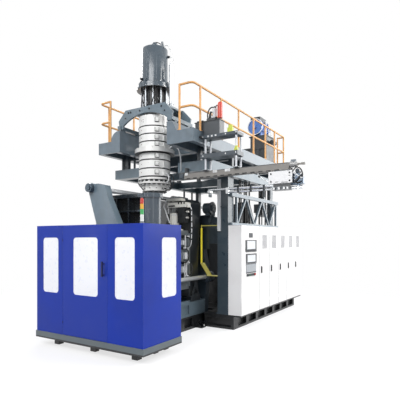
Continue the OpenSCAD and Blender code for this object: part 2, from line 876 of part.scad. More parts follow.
// Saddle on the left arm
module left_saddle_outline() {
    r = saddle_h;
    x = slot_half_w;
    polygon(concat(
        [[-x, deck_z], [-x, saddle_top], [-x - 40, saddle_top]],
        [for (a = [15:15:90]) [-x - 40 - r * sin(a), saddle_top - r * (1 - cos(a))]]
    ));
}

// Saddle on the right arm
module right_saddle_outline() {
    x = slot_half_w;
    polygon([[x, deck_z], [x + 226, deck_z], [x + 120, saddle_top], [x, saddle_top]]);
}

module platform() {
    back = slot_end_y - 20;
    color("#7b8993") {
        platform_beams();
        difference() {
            block([-platform_half_w, platform_y, deck_z - deck_t],
                  [platform_half_w, platform_end_y, deck_z]);
            block([-slot_half_w, platform_y - 1, deck_z - deck_t - 1],
                  [slot_half_w, slot_end_y, deck_z + 1]);
        }
        for (part = [0, 1]) difference() {
            along_y(platform_y, back)
                if (part == 0) left_saddle_outline(); else right_saddle_outline();
            mirror([1 - part, 0, 0])
                block([slot_half_w + 24, platform_y + fascia_t, deck_z],
                      [slot_half_w + 120, back - fascia_t, saddle_top - 24]);
        }
    }
}

module elbow(place, turn, r) {
    translate(place) rotate(turn) rotate_extrude(angle = 90) translate([r, 0]) circle(d = rail_d);
}

module rail_side() {
    r = rail_d / 2;
    bend = 90;
    for (h = [rail_h, mid_rail_h]) {
        z = deck_z + h;
        bar_x(rail_front_y, z, r, rail_front_x, rail_x - bend);
        elbow([rail_x - bend, rail_front_y + bend, z], [0, 0, -90], bend);
        bar_y(rail_x, z, r, rail_front_y + bend, rail_end_y - bend);
        elbow([rail_x - bend, rail_end_y - bend, z], [0, 0, 0], bend);
        bar_x(rail_end_y, z, r, 980, rail_x - bend);
    }
    for (y = post_ys) {
        bar_z(rail_x, y, r, deck_z, deck_z + rail_h);
        bar_z(rail_x, y, r + 16, deck_z, deck_z + 12);
    }
    for (place = [[rail_front_x, rail_front_y], [980, rail_end_y]]) {
        bar_z(place[0], place[1], r, deck_z, deck_z + rail_h);
        bar_z(place[0], place[1], r + 16, deck_z, deck_z + 12);
        translate([place[0], place[1], deck_z + rail_h]) sphere(r = r);
    }
}

module handrails() {
    color("#e8a24c") both_sides() rail_side();
}

/* Head */

// The yoke's hat-shaped plate
module yoke_outline() {
    flat = 500;
    reach = 690;
    foot_z = yoke_foot_z;
    arch_rise = 140;
    arch_half = 500;
    arch_r = (arch_half * arch_half + arch_rise * arch_rise) / (2 * arch_rise);
    apex_z = yoke_top - 125;
    difference() {
        polygon([[-flat, yoke_top], [flat, yoke_top], [reach, yoke_top - 200],
                 [reach - 34, foot_z], [-reach + 34, foot_z], [-reach, yoke_top - 200]]);
        intersection() {
            translate([0, apex_z - arch_r]) circle(r = arch_r, $fn = 96);
            translate([-slot_half_w + 40, foot_z - 100]) square([2 * slot_half_w - 80, 600]);
        }
        for (x = [-420, -360, -120, 120, 420])
            translate([x, yoke_top - 62]) circle(r = 14);
    }
}

module head_yoke() {
    leg = 70;
    rod_hole = piston_rod_r + 20;
    color("#71808a") {
        front_and_back() difference() {
            along_y(-yoke_plate_y - yoke_plate_t, -yoke_plate_y) yoke_outline();
            both_sides()
                block([slot_half_w + 20, -yoke_plate_y - yoke_plate_t - 1, yoke_foot_z - 1],
                      [slot_half_w + 200, -yoke_plate_y + 1, yoke_foot_z + yoke_foot_h]);
        }
        difference() {
            block([-480, -yoke_plate_y, yoke_top - 40], [480, yoke_plate_y, yoke_top]);
            bar_z(0, 0, rod_hole, yoke_top - 41, yoke_top + 1);
        }
        both_sides() {
            block([slot_half_w + 20, -yoke_plate_y - 60, yoke_foot_z],
                  [slot_half_w + 100, yoke_plate_y + 60, yoke_foot_z + yoke_foot_h]);
            front_and_back() block([slot_half_w + 25, 190, saddle_top],
                                   [slot_half_w + 95, 190 + leg, yoke_foot_z]);
        }
    }
}

module stacked_core(joints, r, bore) {
    last = len(joints) - 1;
    difference() {
        bar_z(0, 0, r, joints[0], joints[last]);
        for (i = [1 : last - 1])
            difference() {
                bar_z(0, 0, r + 1, joints[i] - 4, joints[i] + 4);
                bar_z(0, 0, r - 14, joints[i] - 5, joints[i] + 5);
            }
        bar_z(0, 0, bore, joints[0] - 1, joints[last] + 1);
    }
}

module head_upper() {
    hub_r = 210;
    color("#e9e9e6") {
        stacked_core(upper_joints, head_r, piston_rod_r + bearing_gap);
        difference() {
            bar_z(0, 0, hub_r, upper_body_top, yoke_top - 40);
            bar_z(0, 0, piston_rod_r + bearing_gap, upper_body_top - 1, yoke_top);
        }
    }
}

module head_flange() {
    bolt_r = head_flange_r - 32;
    color("#d9dad8") {
        bar_z(0, 0, head_flange_r, lower_body_top, flange_top - 30);
        bar_z(0, 0, head_flange_r - 60, flange_top - 30, flange_top);
        for (a = [0:20:340])
            at_polar(bolt_r, a, flange_top - 30)
                cylinder(r = 17, h = 22, $fn = 6);
    }
}

module head_lower() {
    color("#e4e4e1") {
        difference() {
            bar_z(0, 0, head_r, lower_joints[0], lower_body_top);
            for (z = [lower_joints[1], lower_joints[2]])
                difference() {
                    bar_z(0, 0, head_r + 1, z - 4, z + 4);
                    bar_z(0, 0, head_r - 14, z - 5, z + 5);
                }
        }
        bar_z(0, 0, band_r + 12, lower_body_z + 78, lower_joints[0]);
        bar_z(0, 0, head_r - 30, lower_body_z + 62, lower_body_z + 78);
        bar_z(0, 0, band_r + 6, lower_body_z, lower_body_z + 62);
        for (a = [0:18:342])
            at_polar(head_r - 2, a, lower_body_z + 62)
                cylinder(r = 11, h = 16, $fn = 6);
    }
}

module heater_band(z0, z1, turn) {
    box_h = min(70, z1 - z0 - 20);
    box_z = (z0 + z1) / 2 - box_h / 2;
    rotate([0, 0, turn]) {
        difference() {
            bar_z(0, 0, band_r, z0, z1);
            bar_z(0, 0, head_r + running_gap, z0 - 1, z1 + 1);
            block([0, -3, z0 - 1], [band_r + 1, 3, z1 + 1]);
        }
        for (side = [-1, 1])
            block([band_r - 3, side * 8 - 5, z0 + 12], [band_r + 22, side * 8 + 5, z1 - 12]);
        rotate([0, 0, -26]) block([band_r - 3, -34, box_z], [band_r + 34, 34, box_z + box_h]);
    }
}

module heater_bands() {
    gap = joint_gap / 2;
    color("#eeeeea") {
        for (i = [0:3])
            heater_band(upper_joints[i] + gap, upper_joints[i + 1] - gap, -18);
        for (i = [0:2])
            heater_band(lower_joints[i] + gap, lower_joints[i + 1] - gap, -18);
    }
}

module die_bush() {
    bolt_circle = die_r - 26;
    mouth_r = 175;
    color("#dcdcd9") {
        difference() {
            bar_z(0, 0, die_r, die_z, lower_body_z);
            translate([0, 0, die_z - 1]) cylinder(r1 = mouth_r, r2 = mouth_r - 30, h = lower_body_z - die_z + 2);
        }
        for (a = [0:30:330])
            at_polar(bolt_circle, a, die_z - 16)
                cylinder(r = 13, h = 16, $fn = 6);
    }
}

module die_pin() {
    mouth_r = 175;
    color("#8f9496")
        translate([0, 0, die_z])
            cylinder(r1 = mouth_r - die_gap, r2 = mouth_r - 30 - die_gap, h = lower_body_z - die_z);
}

module ram_cage() {
    rod_r = 18;
    x = ram_flange_r + 60;
    color("#aab2b8") {
        for (i = [0 : cage_rods - 1]) {
            a = (i + 0.35) * 360 / cage_rods;
            at_polar(cage_r, a, yoke_top) {
                cylinder(r = rod_r, h = cage_h);
                cylinder(r = rod_r + 9, h = 26, $fn = 6);
            }
        }
        bar_z(x, 0, 36, yoke_top, yoke_top + 60);
        bar_z(x, 0, 50, yoke_top + 60, yoke_top + 840);
        bar_z(x, 0, 30, yoke_top + 840, yoke_top + 890);
    }
}

module ram_cylinder() {
    color("#5f6d78") {
        difference() {
            union() {
                bar_z(0, 0, ram_flange_r, ram_flange_z, ram_flange_z + 34);
                bar_z(0, 0, ram_flange_r - 18, ram_flange_z + 34, ram_z);
                bar_z(0, 0, ram_r, ram_z, ram_top);
            }
            bar_z(0, 0, ram_bore_r, ram_flange_z + 60, ram_top - 60);
            bar_z(0, 0, piston_rod_r + bearing_gap, ram_flange_z - 1, ram_flange_z + 61);
        }
        for (a = [10:40:350])
            at_polar(ram_r + 58, a, ram_z) cylinder(r = 19, h = 30, $fn = 6);
        bar_z(30, -40, 62, ram_top, ram_top + 70);
        translate([30, -40, ram_top + 70]) difference() {
            sphere(r = 62);
            translate([-70, -70, -140]) cube([140, 140, 140]);
        }
        bar_z(150, 60, 36, ram_top, ram_top + 95);
        bar_z(150, 60, 24, ram_top + 95, ram_top + 150);
    }
}

module piston_rod() {
    color("#c3c8cb") {
        bar_z(0, 0, piston_rod_r, upper_body_top - 400, ram_flange_z + 80);
        bar_z(0, 0, ram_bore_r - running_gap, ram_flange_z + 80, ram_flange_z + 130);
        difference() {
            bar_z(0, 0, 205, crosshead_z, crosshead_z + 60);
            for (a = [0:45:315])
                at_polar(160, a, crosshead_z - 1) cylinder(r = 22, h = 62);
        }
        bar_z(0, 0, 120, crosshead_z + 60, crosshead_z + 110);
    }
}

/* Extruder */

module extruder_barrel() {
    color("#c6cac9") {
        difference() {
            union() {
                bar_y(0, extruder_z, barrel_r, barrel_y0, throat_y0);
                bar_y(0, extruder_z, 145, barrel_y0 - 40, barrel_y0);
                bar_y(0, extruder_z, 145, throat_y0 - 40, throat_y0);
                block([-170, throat_y0, deck_z], [170, throat_y0 + throat_l, throat_top - 24]);
                difference() {
                    block([-160, throat_y0 + 10, throat_top - 24],
                          [160, throat_y0 + throat_l - 10, throat_top]);
                    for (x = [-125, 125], y = [35, throat_l - 35])
                        bar_z(x, throat_y0 + y, 9, throat_top - 25, throat_top + 1);
                }
                bar_y(0, extruder_z, 120, throat_y0 + throat_l, gearbox_y);
                for (y = [1300, 2400])
                    along_y(y, y + 24)
                        polygon([[-110, deck_z], [110, deck_z], [40, extruder_z], [-40, extruder_z]]);
            }
            bar_y(0, extruder_z, screw_bore_r, barrel_y0 - 41, gearbox_y + 1);
            bar_z(0, throat_y0 + throat_l / 2, 55, extruder_z, throat_top + 1);
        }
        difference() {
            bar_y(0, extruder_z, 110, 200, barrel_y0 - 40);
            bar_y(0, extruder_z, 40, 199, barrel_y0 - 39);
            bar_z(0, 0, band_r + running_gap, extruder_z - 200, extruder_z + 200);
        }
    }
}

module barrel_heaters() {
    color("#b9bec0")
        for (y = [480 : 280 : 3100])
            difference() {
                union() {
                    bar_y(0, extruder_z, barrel_r + 28, y, y + 210);
                    block([barrel_r + 20, y + 70, extruder_z - 30],
                          [barrel_r + 60, y + 140, extruder_z + 30]);
                }
                bar_y(0, extruder_z, barrel_r + running_gap, y - 1, y + 211);
                if (y < 1324 && y + 210 > 1300)
                    block([-130, 1290, deck_z - 1], [130, 1334, extruder_z]);
                if (y < 2424 && y + 210 > 2400)
                    block([-130, 2390, deck_z - 1], [130, 2434, extruder_z]);
            }
}

module extruder_screw() {
    root_r = screw_bore_r - 16;
    screw_l = gearbox_y - barrel_y0 - 40;
    pitch = 240;
    turns = floor((screw_l - 500) / pitch);
    color("#9aa0a3") {
        bar_y(0, extruder_z, root_r, barrel_y0, barrel_y0 + screw_l);
        bar_y(0, extruder_z, shank_r, gearbox_y - 160, gearbox_y + 68);
        translate([0, barrel_y0 + 20, extruder_z]) rotate([-90, 0, 0])
            linear_extrude(height = turns * pitch, twist = 360 * turns, slices = turns * 10, $fn = 4)
                translate([root_r - 4, -8]) square([18, 16]);
    }
}

module gearbox() {
    y1 = gearbox_y + gearbox_l;
    color("#28323a") {
        difference() {
            block([gearbox_x0, gearbox_y, deck_z], [gearbox_x1, y1, gearbox_step_z]);
            for (x = [gearbox_x0 + 60 : 220 : gearbox_x1 - 180])
                block([x, gearbox_y - 1, deck_z + 60], [x + 150, gearbox_y + 26, gearbox_step_z - 50]);
            bar_y(0, extruder_z, shank_r + bearing_gap, gearbox_y - 1, gearbox_y + 70);
        }
        block([240, gearbox_y, gearbox_step_z], [gearbox_x1, y1, gearbox_top - 30]);
        block([200, gearbox_y - 10, gearbox_top - 30], [gearbox_x1 + 20, y1 + 40, gearbox_top]);
        block([gearbox_x0 - 20, gearbox_y - 20, gearbox_step_z - 26],
              [240, gearbox_y, gearbox_step_z]);
        bar_y(gearbox_x1 + 70, gearbox_top - 180, 62, gearbox_y + 220, gearbox_y + 460);
        block([gearbox_x1, gearbox_y + 260, gearbox_top - 220],
              [gearbox_x1 + 20, gearbox_y + 420, gearbox_top - 140]);
    }
}

module drive_motor() {
    y1 = motor_y0 + motor_l;
    fins = 24;
    color("#5d86c8") {
        bar_y(motor_x, motor_z, motor_r, motor_y0, motor_y0 + 40);
        bar_y(motor_x, motor_z, motor_r - 28, motor_y0 + 40, y1 - 40);
        bar_y(motor_x, motor_z, motor_r, y1 - 40, y1);
        bar_y(motor_x, motor_z, 60, motor_y0 - 16, motor_y0);
        for (i = [0 : fins - 1])
            translate([motor_x, motor_y0 + 40, motor_z]) rotate([0, i * 360 / fins, 0])
                translate([-4, 0, motor_r - 32]) cube([8, motor_l - 80, 22]);
        for (x = [-150, 90])
            block([motor_x + x, motor_y0 + 60, gearbox_top],
                  [motor_x + x + 60, y1 - 60, motor_z - motor_r + 90]);
        block([motor_x - 150, motor_y0 + 10, motor_z + 140],
              [motor_x + 150, motor_y0 + 440, motor_z + motor_r + 45]);
    }
}

/* Take-out */

module takeout_beam() {
    color("#a4a9a8") {
        difference() {
            block([beam_x0, -beam_half, beam_z], [beam_x1, beam_half, beam_top]);
            for (x = [beam_x0 + 160 : 150 : beam_x1 - 160])
                block([x, -beam_half - 1, beam_z - 1], [x + 90, -beam_half + 18, beam_z + 12]);
        }
        block([beam_x0 + 60, beam_half - 20, beam_top], [beam_x0 + 100, ring_y, ring_z + 60]);
        block([beam_x0 + 20, -beam_half - 24, beam_z + 30], [beam_x0 + 100, -beam_half, beam_top - 6]);
        block([beam_x1, -beam_half + 2, beam_z + 20], [beam_x1 + 16, beam_half - 2, beam_top - 2]);
        bar_x(0, beam_top - 34, 44, beam_x1 + 16, beam_x1 + 150);
        bar_x(0, beam_top - 34, 14, beam_x1 + 150, beam_x1 + 200);
        block([beam_x1 + 210, -20, beam_top - 52], [beam_x1 + 270, 20, beam_top - 16]);
        block([beam_x1 + 200, -10, beam_top - 44], [beam_x1 + 210, 10, beam_top - 24]);
    }
}

module takeout_carriage() {
    x0 = carriage_x1 - carriage_w;
    front = beam_half + 74;
    color("#eceded") {
        difference() {
            block([x0, -front, 2848], [carriage_x1, -front + 16, 3052]);
            for (x = [x0 + 45, carriage_x1 - 45], z = [2885, 3015])
                bar_y(x, z, 9, -front - 1, -front + 17);
        }
        block([x0 + 60, -front + 16, 2870], [carriage_x1 - 60, -beam_half - running_gap, 3045]);
        block([x0 + 60, -beam_half - running_gap, 2790], [carriage_x1 - 60, beam_half + 16, beam_z - running_gap]);
        block([x0 + 60, beam_half + running_gap, beam_z - running_gap],
              [carriage_x1 - 60, beam_half + 16, beam_top - 20]);
        block([x0 + 60, -front + 16, 2740], [carriage_x1 - 60, 40, 2790]);
    }
}

// Arm rods with the gripper head at their tip
module takeout_arm() {
    x0 = carriage_x1 - carriage_w + 60;
    x1 = carriage_x1 - 60;
    color("#d8dadb") {
        difference() {
            union() {
                bar_x(0, arm_z, arm_r, tip_x, x0);
                bar_x(0, low_arm_z, low_arm_r, 1670, x0);
                bar_x(0, arm_z, arm_r, x1, 3000);
                bar_x(0, low_arm_z, 28, x1, 3110);
                along_y(-70, 30)
                    polygon([[x1, 2960], [3010, 3040], [3130, 2930], [3130, 2830], [3060, 2812], [x1, 2850]]);
                bar_y(3040, 3042, 34, -100, 20);
                block([1670, -26, low_arm_z - 26], [1720, 26, arm_z + 24]);
                block([tip_x - 54, -50, arm_z - 50], [tip_x, 50, arm_z - 18]);
                bar_x(0, arm_z, arm_r, tip_x - 54, tip_x);
            }
            block([tip_x - 55, -40, arm_z - 51], [tip_x - 40, 40, arm_z - 36]);
        }
        block([3010, -34, low_arm_z - 36], [3050, 34, arm_z + 26]);
    }
}

module gripper_finger() {
    top = arm_z - 50 - running_gap;
    color("#6c7378") {
        block([tip_x - 34, 22, arm_z - 130], [tip_x - 14, 42, top]);
        block([tip_x - 44, 16, arm_z - 130], [tip_x - 4, 28, arm_z - 90]);
    }
}

module gripper_left() {
    gripper_finger();
}

module gripper_right() {
    mirror([0, 1, 0]) gripper_finger();
}

module hanger_frame() {
    color("#566570") {
        difference() {
            union() {
                block([platform_half_w, -130, shelf_z], [1960, 130, shelf_z + shelf_h]);
                block([1185, -130, low_shelf_z], [1960, 130, low_shelf_z + low_shelf_h]);
            }
            for (x = hanger_x, y = [-hanger_y, hanger_y])
                bar_z(x, y, hanger_post_r + running_gap, low_shelf_z - 1, shelf_z + 30);
        }
        for (x = hanger_x, y = [-hanger_y, hanger_y]) {
            bar_z(x, y, hanger_post_r, beam_top + 16, shelf_z + 30);
            for (z = [shelf_z - 12, low_shelf_z - 12, low_shelf_z + low_shelf_h])
                difference() {
                    bar_z(x, y, hanger_post_r + 8, z, z + 12);
                    bar_z(x, y, hanger_post_r - 1, z - 1, z + 13);
                }
        }
        for (x = hanger_x)
            block([x - 50, -hanger_y - 30, beam_top], [x + 50, hanger_y + 30, beam_top + 16]);
    }
}

module valve_unit() {
    z = shelf_z + shelf_h;
    color("#4a5a68") {
        lid = z + 275;
        block([platform_half_w + 8, -60, z], [1560, 120, lid]);
        block([1030, -60, deck_z + 8], [platform_half_w + 8, 120, lid]);
        block([1018, -70, lid], [1572, 130, lid + 14]);
        block([1270, -40, lid + 14], [1460, 80, lid + 62]);
        bar_z(1410, 20, 40, lid + 62, lid + 250);
        bar_z(1410, 20, 30, lid + 250, lid + 285);
        bar_x(20, lid + 190, 16, 1322, 1375);
        bar_z(1322, 20, 18, lid + 62, lid + 200);
        block([1060, -50, lid + 14], [1200, 60, lid + 40]);
    }
}

module gas_bottle() {
    z = shelf_z + shelf_h + 289;
    x = 1514;
    color("#c94a3c") {
        bar_z(x, 40, 48, z + 40, z + 300);
        translate([x, 40, z + 300]) sphere(r = 48);
        bar_z(x, 40, 24, z, z + 40);
    }
}

/* Cabin */

// Hinge knuckles: part 0 is the leaf's, part 1 the frame's
module knuckles(x, y, r, zs, part, grow = 0) {
    for (z = zs)
        bar_z(x, y, r + grow, z + part * 40 + 0.2 - grow, z + part * 40 + 39.8 + grow);
}

door_hinge_z = [cabin_z + 200, cabin_top - 280];
cabinet_hinge_z = [cabinet_z + 150, cabinet_top - 230];

module window_hole(x0, x1) {
    translate([x0, window_z0]) round_rect(x1 - x0, window_z1 - window_z0, window_corner_r);
}

front_windows = [[-1075, -669], [676, 1086]];
door_window_x = [-283, 297];
side_window_y = [cabin_y + 464, cabin_y + 863];

module cabin_panels() {
    lip = 40;
    inner_y = cabin_y + panel_t;
    color("#2b46a6") {
        difference() {
            along_y(cabin_y, inner_y) {
                translate([-cabin_half_w, cabin_z]) square([door_x0 + cabin_half_w - door_gap / 2, cabin_top - cabin_z]);
                translate([door_x1 + door_gap / 2, cabin_z]) square([cabin_half_w - door_x1 - door_gap / 2, cabin_top - cabin_z]);
            }
            along_y(cabin_y - 1, inner_y + 1)
                for (w = front_windows) window_hole(w[0], w[1]);
            knuckles(door_x0, cabin_y, 7, door_hinge_z, 0, running_gap);
        }
        knuckles(door_x0, cabin_y, 7, door_hinge_z, 1);
        for (side = [-1, 1]) difference() {
            block([side > 0 ? cabin_half_w - panel_t : -cabin_half_w, inner_y, cabin_z],
                  [side > 0 ? cabin_half_w : -cabin_half_w + panel_t, cabin_back_y, cabin_top]);
            along_x(side > 0 ? cabin_half_w - panel_t - 1 : -cabin_half_w - 1,
                    side > 0 ? cabin_half_w + 1 : -cabin_half_w + panel_t + 1)
                translate([side_window_y[0], window_z0])
                    round_rect(side_window_y[1] - side_window_y[0], window_z1 - window_z0, window_corner_r);
        }
        both_sides() {
            block([cabin_half_w - panel_t - lip, inner_y, cabin_top - 30],
                  [cabin_half_w - panel_t, cabin_back_y, cabin_top]);
            block([cabin_half_w - panel_t - lip, cabin_back_y - 30, cabin_z],
                  [cabin_half_w - panel_t, cabin_back_y, cabin_top - 30]);
        }
        block([-cabin_half_w + panel_t + lip, inner_y, cabin_top - 30],
              [cabin_half_w - panel_t - lip, inner_y + lip, cabin_top]);
        for (x = [door_x0, door_x1])
            block([x - 26, inner_y, cabin_z], [x + 26, inner_y + 8, cabin_top - 30]);
    }
}

module pane(w, h) {
    round_rect(w - 2 * fit_gap, h - 2 * fit_gap, window_corner_r - fit_gap);
}

module cabin_windows() {
    h = window_z1 - window_z0;
    color("#f2f4f5") {
        for (w = front_windows)
            along_y(cabin_y + 4, cabin_y + 14)
                translate([w[0] + fit_gap, window_z0 + fit_gap]) pane(w[1] - w[0], h);
        for (side = [-1, 1])
            along_x(side * (cabin_half_w - 9) - 5, side * (cabin_half_w - 9) + 5)
                translate([side_window_y[0] + fit_gap, window_z0 + fit_gap])
                    pane(side_window_y[1] - side_window_y[0], h);
    }
}

module cabin_door() {
    handle_x = door_x1 - 68;
    color("#2b46a6") {
        difference() {
            along_y(cabin_y, cabin_y + panel_t - running_gap)
                translate([door_x0 + door_gap / 2, cabin_z + door_gap])
                    square([door_x1 - door_x0 - door_gap, cabin_top - cabin_z - 2 * door_gap]);
            along_y(cabin_y - 1, cabin_y + panel_t + 1)
                window_hole(door_window_x[0], door_window_x[1]);
            knuckles(door_x0, cabin_y, 7, door_hinge_z, 1, running_gap);
        }
        knuckles(door_x0, cabin_y, 7, door_hinge_z, 0);
        for (z = [1335, 1515])
            bar_y(handle_x, z, 10, cabin_y - 38, cabin_y);
        bar_z(handle_x, cabin_y - 48, 15, 1310, 1555);
    }
}

module door_window() {
    color("#f2f4f5")
        along_y(cabin_y + 4, cabin_y + 14)
            translate([door_window_x[0] + fit_gap, window_z0 + fit_gap])
                pane(door_window_x[1] - door_window_x[0], window_z1 - window_z0);
}

module cabin_frame() {
    outer_x = cabin_half_w + tray_proud;
    front = cabin_y - tray_proud;
    sub_front = cabin_y + 175;
    color("#3a4148") {
        difference() {
            block([-outer_x, front, tray_z], [outer_x, cabin_back_y + 4, cabin_z]);
            block([-900, sub_front + 90, tray_z - 1], [900, cabin_back_y + 5, cabin_z + 1]);
        }
        block([-980, sub_front, 60], [980, sub_front + 90, tray_z]);
        both_sides() {
            block([880, sub_front + 90, 60], [980, cabin_back_y, tray_z]);
            for (y = [sub_front, sub_front + 430, cabin_back_y - 110])
                block([870, y, 0], [990, y + 110, 60]);
        }
        block([-60, sub_front, 0], [60, sub_front + 90, 60]);
        both_sides() block([260, sub_front + 90, 70], [340, -clamp_base_half_l, 100]);
    }
}

module stack_light() {
    x = 1190;
    y = cabin_y + 50;
    r = 28;
    tiers = [[0, 30, 18], [30, 130, r], [134, 214, r], [218, 292, r], [296, 360, r]];
    color("#e9b13a") {
        bar_z(x, y, 25, cabin_top, cabin_top + 375);
        for (t = tiers)
            if (t[2] > 25) bar_z(x, y, t[2], cabin_top + t[0], cabin_top + t[1]);
        bar_z(x, y, 36, cabin_top, cabin_top + 14);
        translate([x, y, cabin_top + 360]) cylinder(r1 = r, r2 = 16, h = 22);
    }
}

/* Cabinets */

module control_cabinets() {
    x1 = cabinet_x - cabinet_door_t;
    wall = cabinet_wall;
    color("#e8eaec") {
        difference() {
            block([cabinet_x0, cabinet_y, cabinet_z], [x1, cabinet_end_y, cabinet_top]);
            for (i = [0 : cabinet_doors - 1])
                block([cabinet_x0 + wall, doors_y + i * cabinet_door_w + wall, cabinet_z + 60],
                      [x1 + 1, doors_y + (i + 1) * cabinet_door_w - wall, cabinet_top - 60]);
        }
        block([x1, cabinet_y, cabinet_z], [cabinet_x, doors_y - 3, cabinet_top]);
        for (i = [0 : cabinet_doors - 1]) {
            y = doors_y + (i + 1) * cabinet_door_w;
            block([cabinet_x0 + wall, y - cabinet_door_w + 80, cabinet_z + 160],
                  [cabinet_x0 + wall + 20, y - 80, cabinet_top - 160]);
            knuckles(cabinet_x, y - 2, 3, cabinet_hinge_z, 1);
            for (z = cabinet_hinge_z)
                block([x1 - 1, y - 1.6, z + 42], [cabinet_x, y, z + 78]);
        }
    }
}

module cabinet_door(i) {
    y0 = doors_y + i * cabinet_door_w + 2;
    y1 = doors_y + (i + 1) * cabinet_door_w - 2;
    x0 = cabinet_x - cabinet_door_t + running_gap;
    vent_y = (y0 + y1) / 2 + 14;
    vent_half = 140;
    vent_z0 = 1701;
    vent_h = 316;
    slats = 12;
    pitch = vent_h / slats;
    handle_y = y0 + 110;
    color("#eceef0") {
        difference() {
            block([x0, y0, cabinet_z + 4], [cabinet_x, y1, cabinet_top - 4]);
            for (k = [0 : slats - 1])
                along_y(vent_y - vent_half, vent_y + vent_half)
                    polygon([[cabinet_x + 1, vent_z0 + k * pitch + 4],
                             [cabinet_x + 1, vent_z0 + (k + 1) * pitch - 6],
                             [cabinet_x - 12, vent_z0 + k * pitch + 6]]);
            knuckles(cabinet_x, y1, 3, cabinet_hinge_z, 1, running_gap);
        }
        knuckles(cabinet_x, y1, 3, cabinet_hinge_z, 0);
        block([cabinet_x, handle_y - 16, 1141], [cabinet_x + 12, handle_y + 16, 1302]);
        block([cabinet_x + 12, handle_y - 11, 1150], [cabinet_x + 26, handle_y + 11, 1290]);
    }
}

module control_panel() {
    x = cabinet_x;
    screen_y = 1216;
    screen_w = 544;
    color("#3d444b") {
        block([x, 1391, 1955], [x + 8, 1572, 2051]);
        difference() {
            block([x, screen_y, 1645], [x + console_t, screen_y + screen_w, 1900]);
            block([x + console_t - 5, screen_y + 60, 1705], [x + console_t + 1, screen_y + screen_w - 60, 1880]);
        }
        for (k = [0:7])
            block([x + console_t, screen_y + 62 + k * 54, 1660],
                  [x + console_t + 4, screen_y + 98 + k * 54, 1688]);
        difference() {
            block([x, 1241, 1396], [x + console_t, 1760, 1602]);
            block([x + console_t - 5, 1291, 1426], [x + console_t + 1, 1710, 1575]);
        }
        block([x, 1241, 1184], [x + 5, 1760, 1389]);
        for (i = [0:7], j = [0:3])
            block([x + 5, 1256 + i * 62, 1210 + j * 43], [x + 10, 1300 + i * 62, 1240 + j * 43]);
        difference() {
            block([x, 1270, 1120], [x + console_t, 1720, 1172]);
            for (y = [1400, 1652])
                bar_x(y, 1147, 8 + bearing_gap, x + 4, x + console_t + 1);
        }
        for (y = [1315, 1345])
            bar_x(y, 1147, 11, x + console_t, x + console_t + 14);
    }
}

module push_button(y, head_r, head_l) {
    bar_x(y, 1147, 8, cabinet_x + 9, cabinet_x + console_t + 6);
    bar_x(y, 1147, head_r, cabinet_x + console_t + 6, cabinet_x + console_t + 6 + head_l);
}

module emergency_stop() {
    color("#c8281f") push_button(1652, 22, 18);
}

module start_button() {
    color("#2f9a4c") push_button(1400, 12, 8);
}

module light_curtain() {
    x = 474;
    y = rear_base_y + 30;
    color("#e6d21f") {
        bar_z(x, y, 20, 1420, 2162);
        bar_z(x, y, 11, 2162, 2235);
        bar_x(y, 2216, 9, x, column_x0);
        block([x - 14, y - 14, 1396], [x + 14, y + 14, 1420]);
        along_y(y - 30, y + 30)
            polygon([[x - 20, 1396], [x + 60, 1396], [x + 245, 1132], [x + 165, 1132]]);
        block([x + 150, y - 30, 1112], [column_x0, y + 30, 1132]);
    }
}

clamp_base();
clamp_bed();
front_tail_plate();
rear_tail_plate();
tie_bars();
clamp_cylinders();
front_platen();
front_mould();
front_ram();
rear_platen();
rear_mould();
rear_ram();
mould_top_unit();
blow_pin();
rear_base();
columns();
trusses();
ring_frame();
frame_posts();
platform();
handrails();
head_yoke();
head_upper();
head_flange();
head_lower();
heater_bands();
die_bush();
die_pin();
ram_cage();
ram_cylinder();
piston_rod();
extruder_barrel();
barrel_heaters();
extruder_screw();
gearbox();
drive_motor();
takeout_beam();
takeout_carriage();
takeout_arm();
gripper_left();
gripper_right();
hanger_frame();
valve_unit();
gas_bottle();
cabin_panels();
cabin_windows();
cabin_door();
door_window();
cabin_frame();
stack_light();
control_cabinets();
control_panel();
light_curtain();
cabinet_door(0);  // cabinet_door_1
cabinet_door(1);  // cabinet_door_2
cabinet_door(2);  // cabinet_door_3
cabinet_door(3);  // cabinet_door_4
cabinet_door(4);  // cabinet_door_5
emergency_stop();
start_button();
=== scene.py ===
"""Looks of the blow moulding machine, in the CAD's own frame, in metres."""
import math

import bmesh
import bpy
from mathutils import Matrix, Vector


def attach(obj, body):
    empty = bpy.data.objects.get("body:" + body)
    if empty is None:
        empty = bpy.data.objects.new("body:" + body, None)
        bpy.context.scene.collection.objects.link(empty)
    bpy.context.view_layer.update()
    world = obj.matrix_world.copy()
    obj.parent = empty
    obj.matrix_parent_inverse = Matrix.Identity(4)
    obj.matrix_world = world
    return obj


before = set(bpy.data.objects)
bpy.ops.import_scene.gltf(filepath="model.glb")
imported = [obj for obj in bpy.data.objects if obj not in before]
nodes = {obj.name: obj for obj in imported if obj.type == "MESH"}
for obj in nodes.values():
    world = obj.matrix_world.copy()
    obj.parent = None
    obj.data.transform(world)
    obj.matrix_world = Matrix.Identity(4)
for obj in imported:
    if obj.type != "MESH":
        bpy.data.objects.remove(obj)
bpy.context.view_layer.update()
scene = bpy.context.scene
scene.view_settings.view_transform = "Standard"

# Camera, solved from the photograph's perspective: focal length and picture width in pixels
FOCAL_LENGTH = 402.0
PICTURE_WIDTH = 400.0
cam_data = bpy.data.cameras.new("camera")
camera = bpy.data.objects.new("camera", cam_data)
scene.collection.objects.link(camera)
scene.camera = camera
camera.location = (5.17, -6.54, 1.9)
camera.rotation_euler = (math.radians(90.0), 0.0, math.radians(31.9))
cam_data.sensor_width = 36.0
cam_data.lens = FOCAL_LENGTH / PICTURE_WIDTH * cam_data.sensor_width
cam_data.shift_y = 0.10
cam_data.clip_end = 200.0


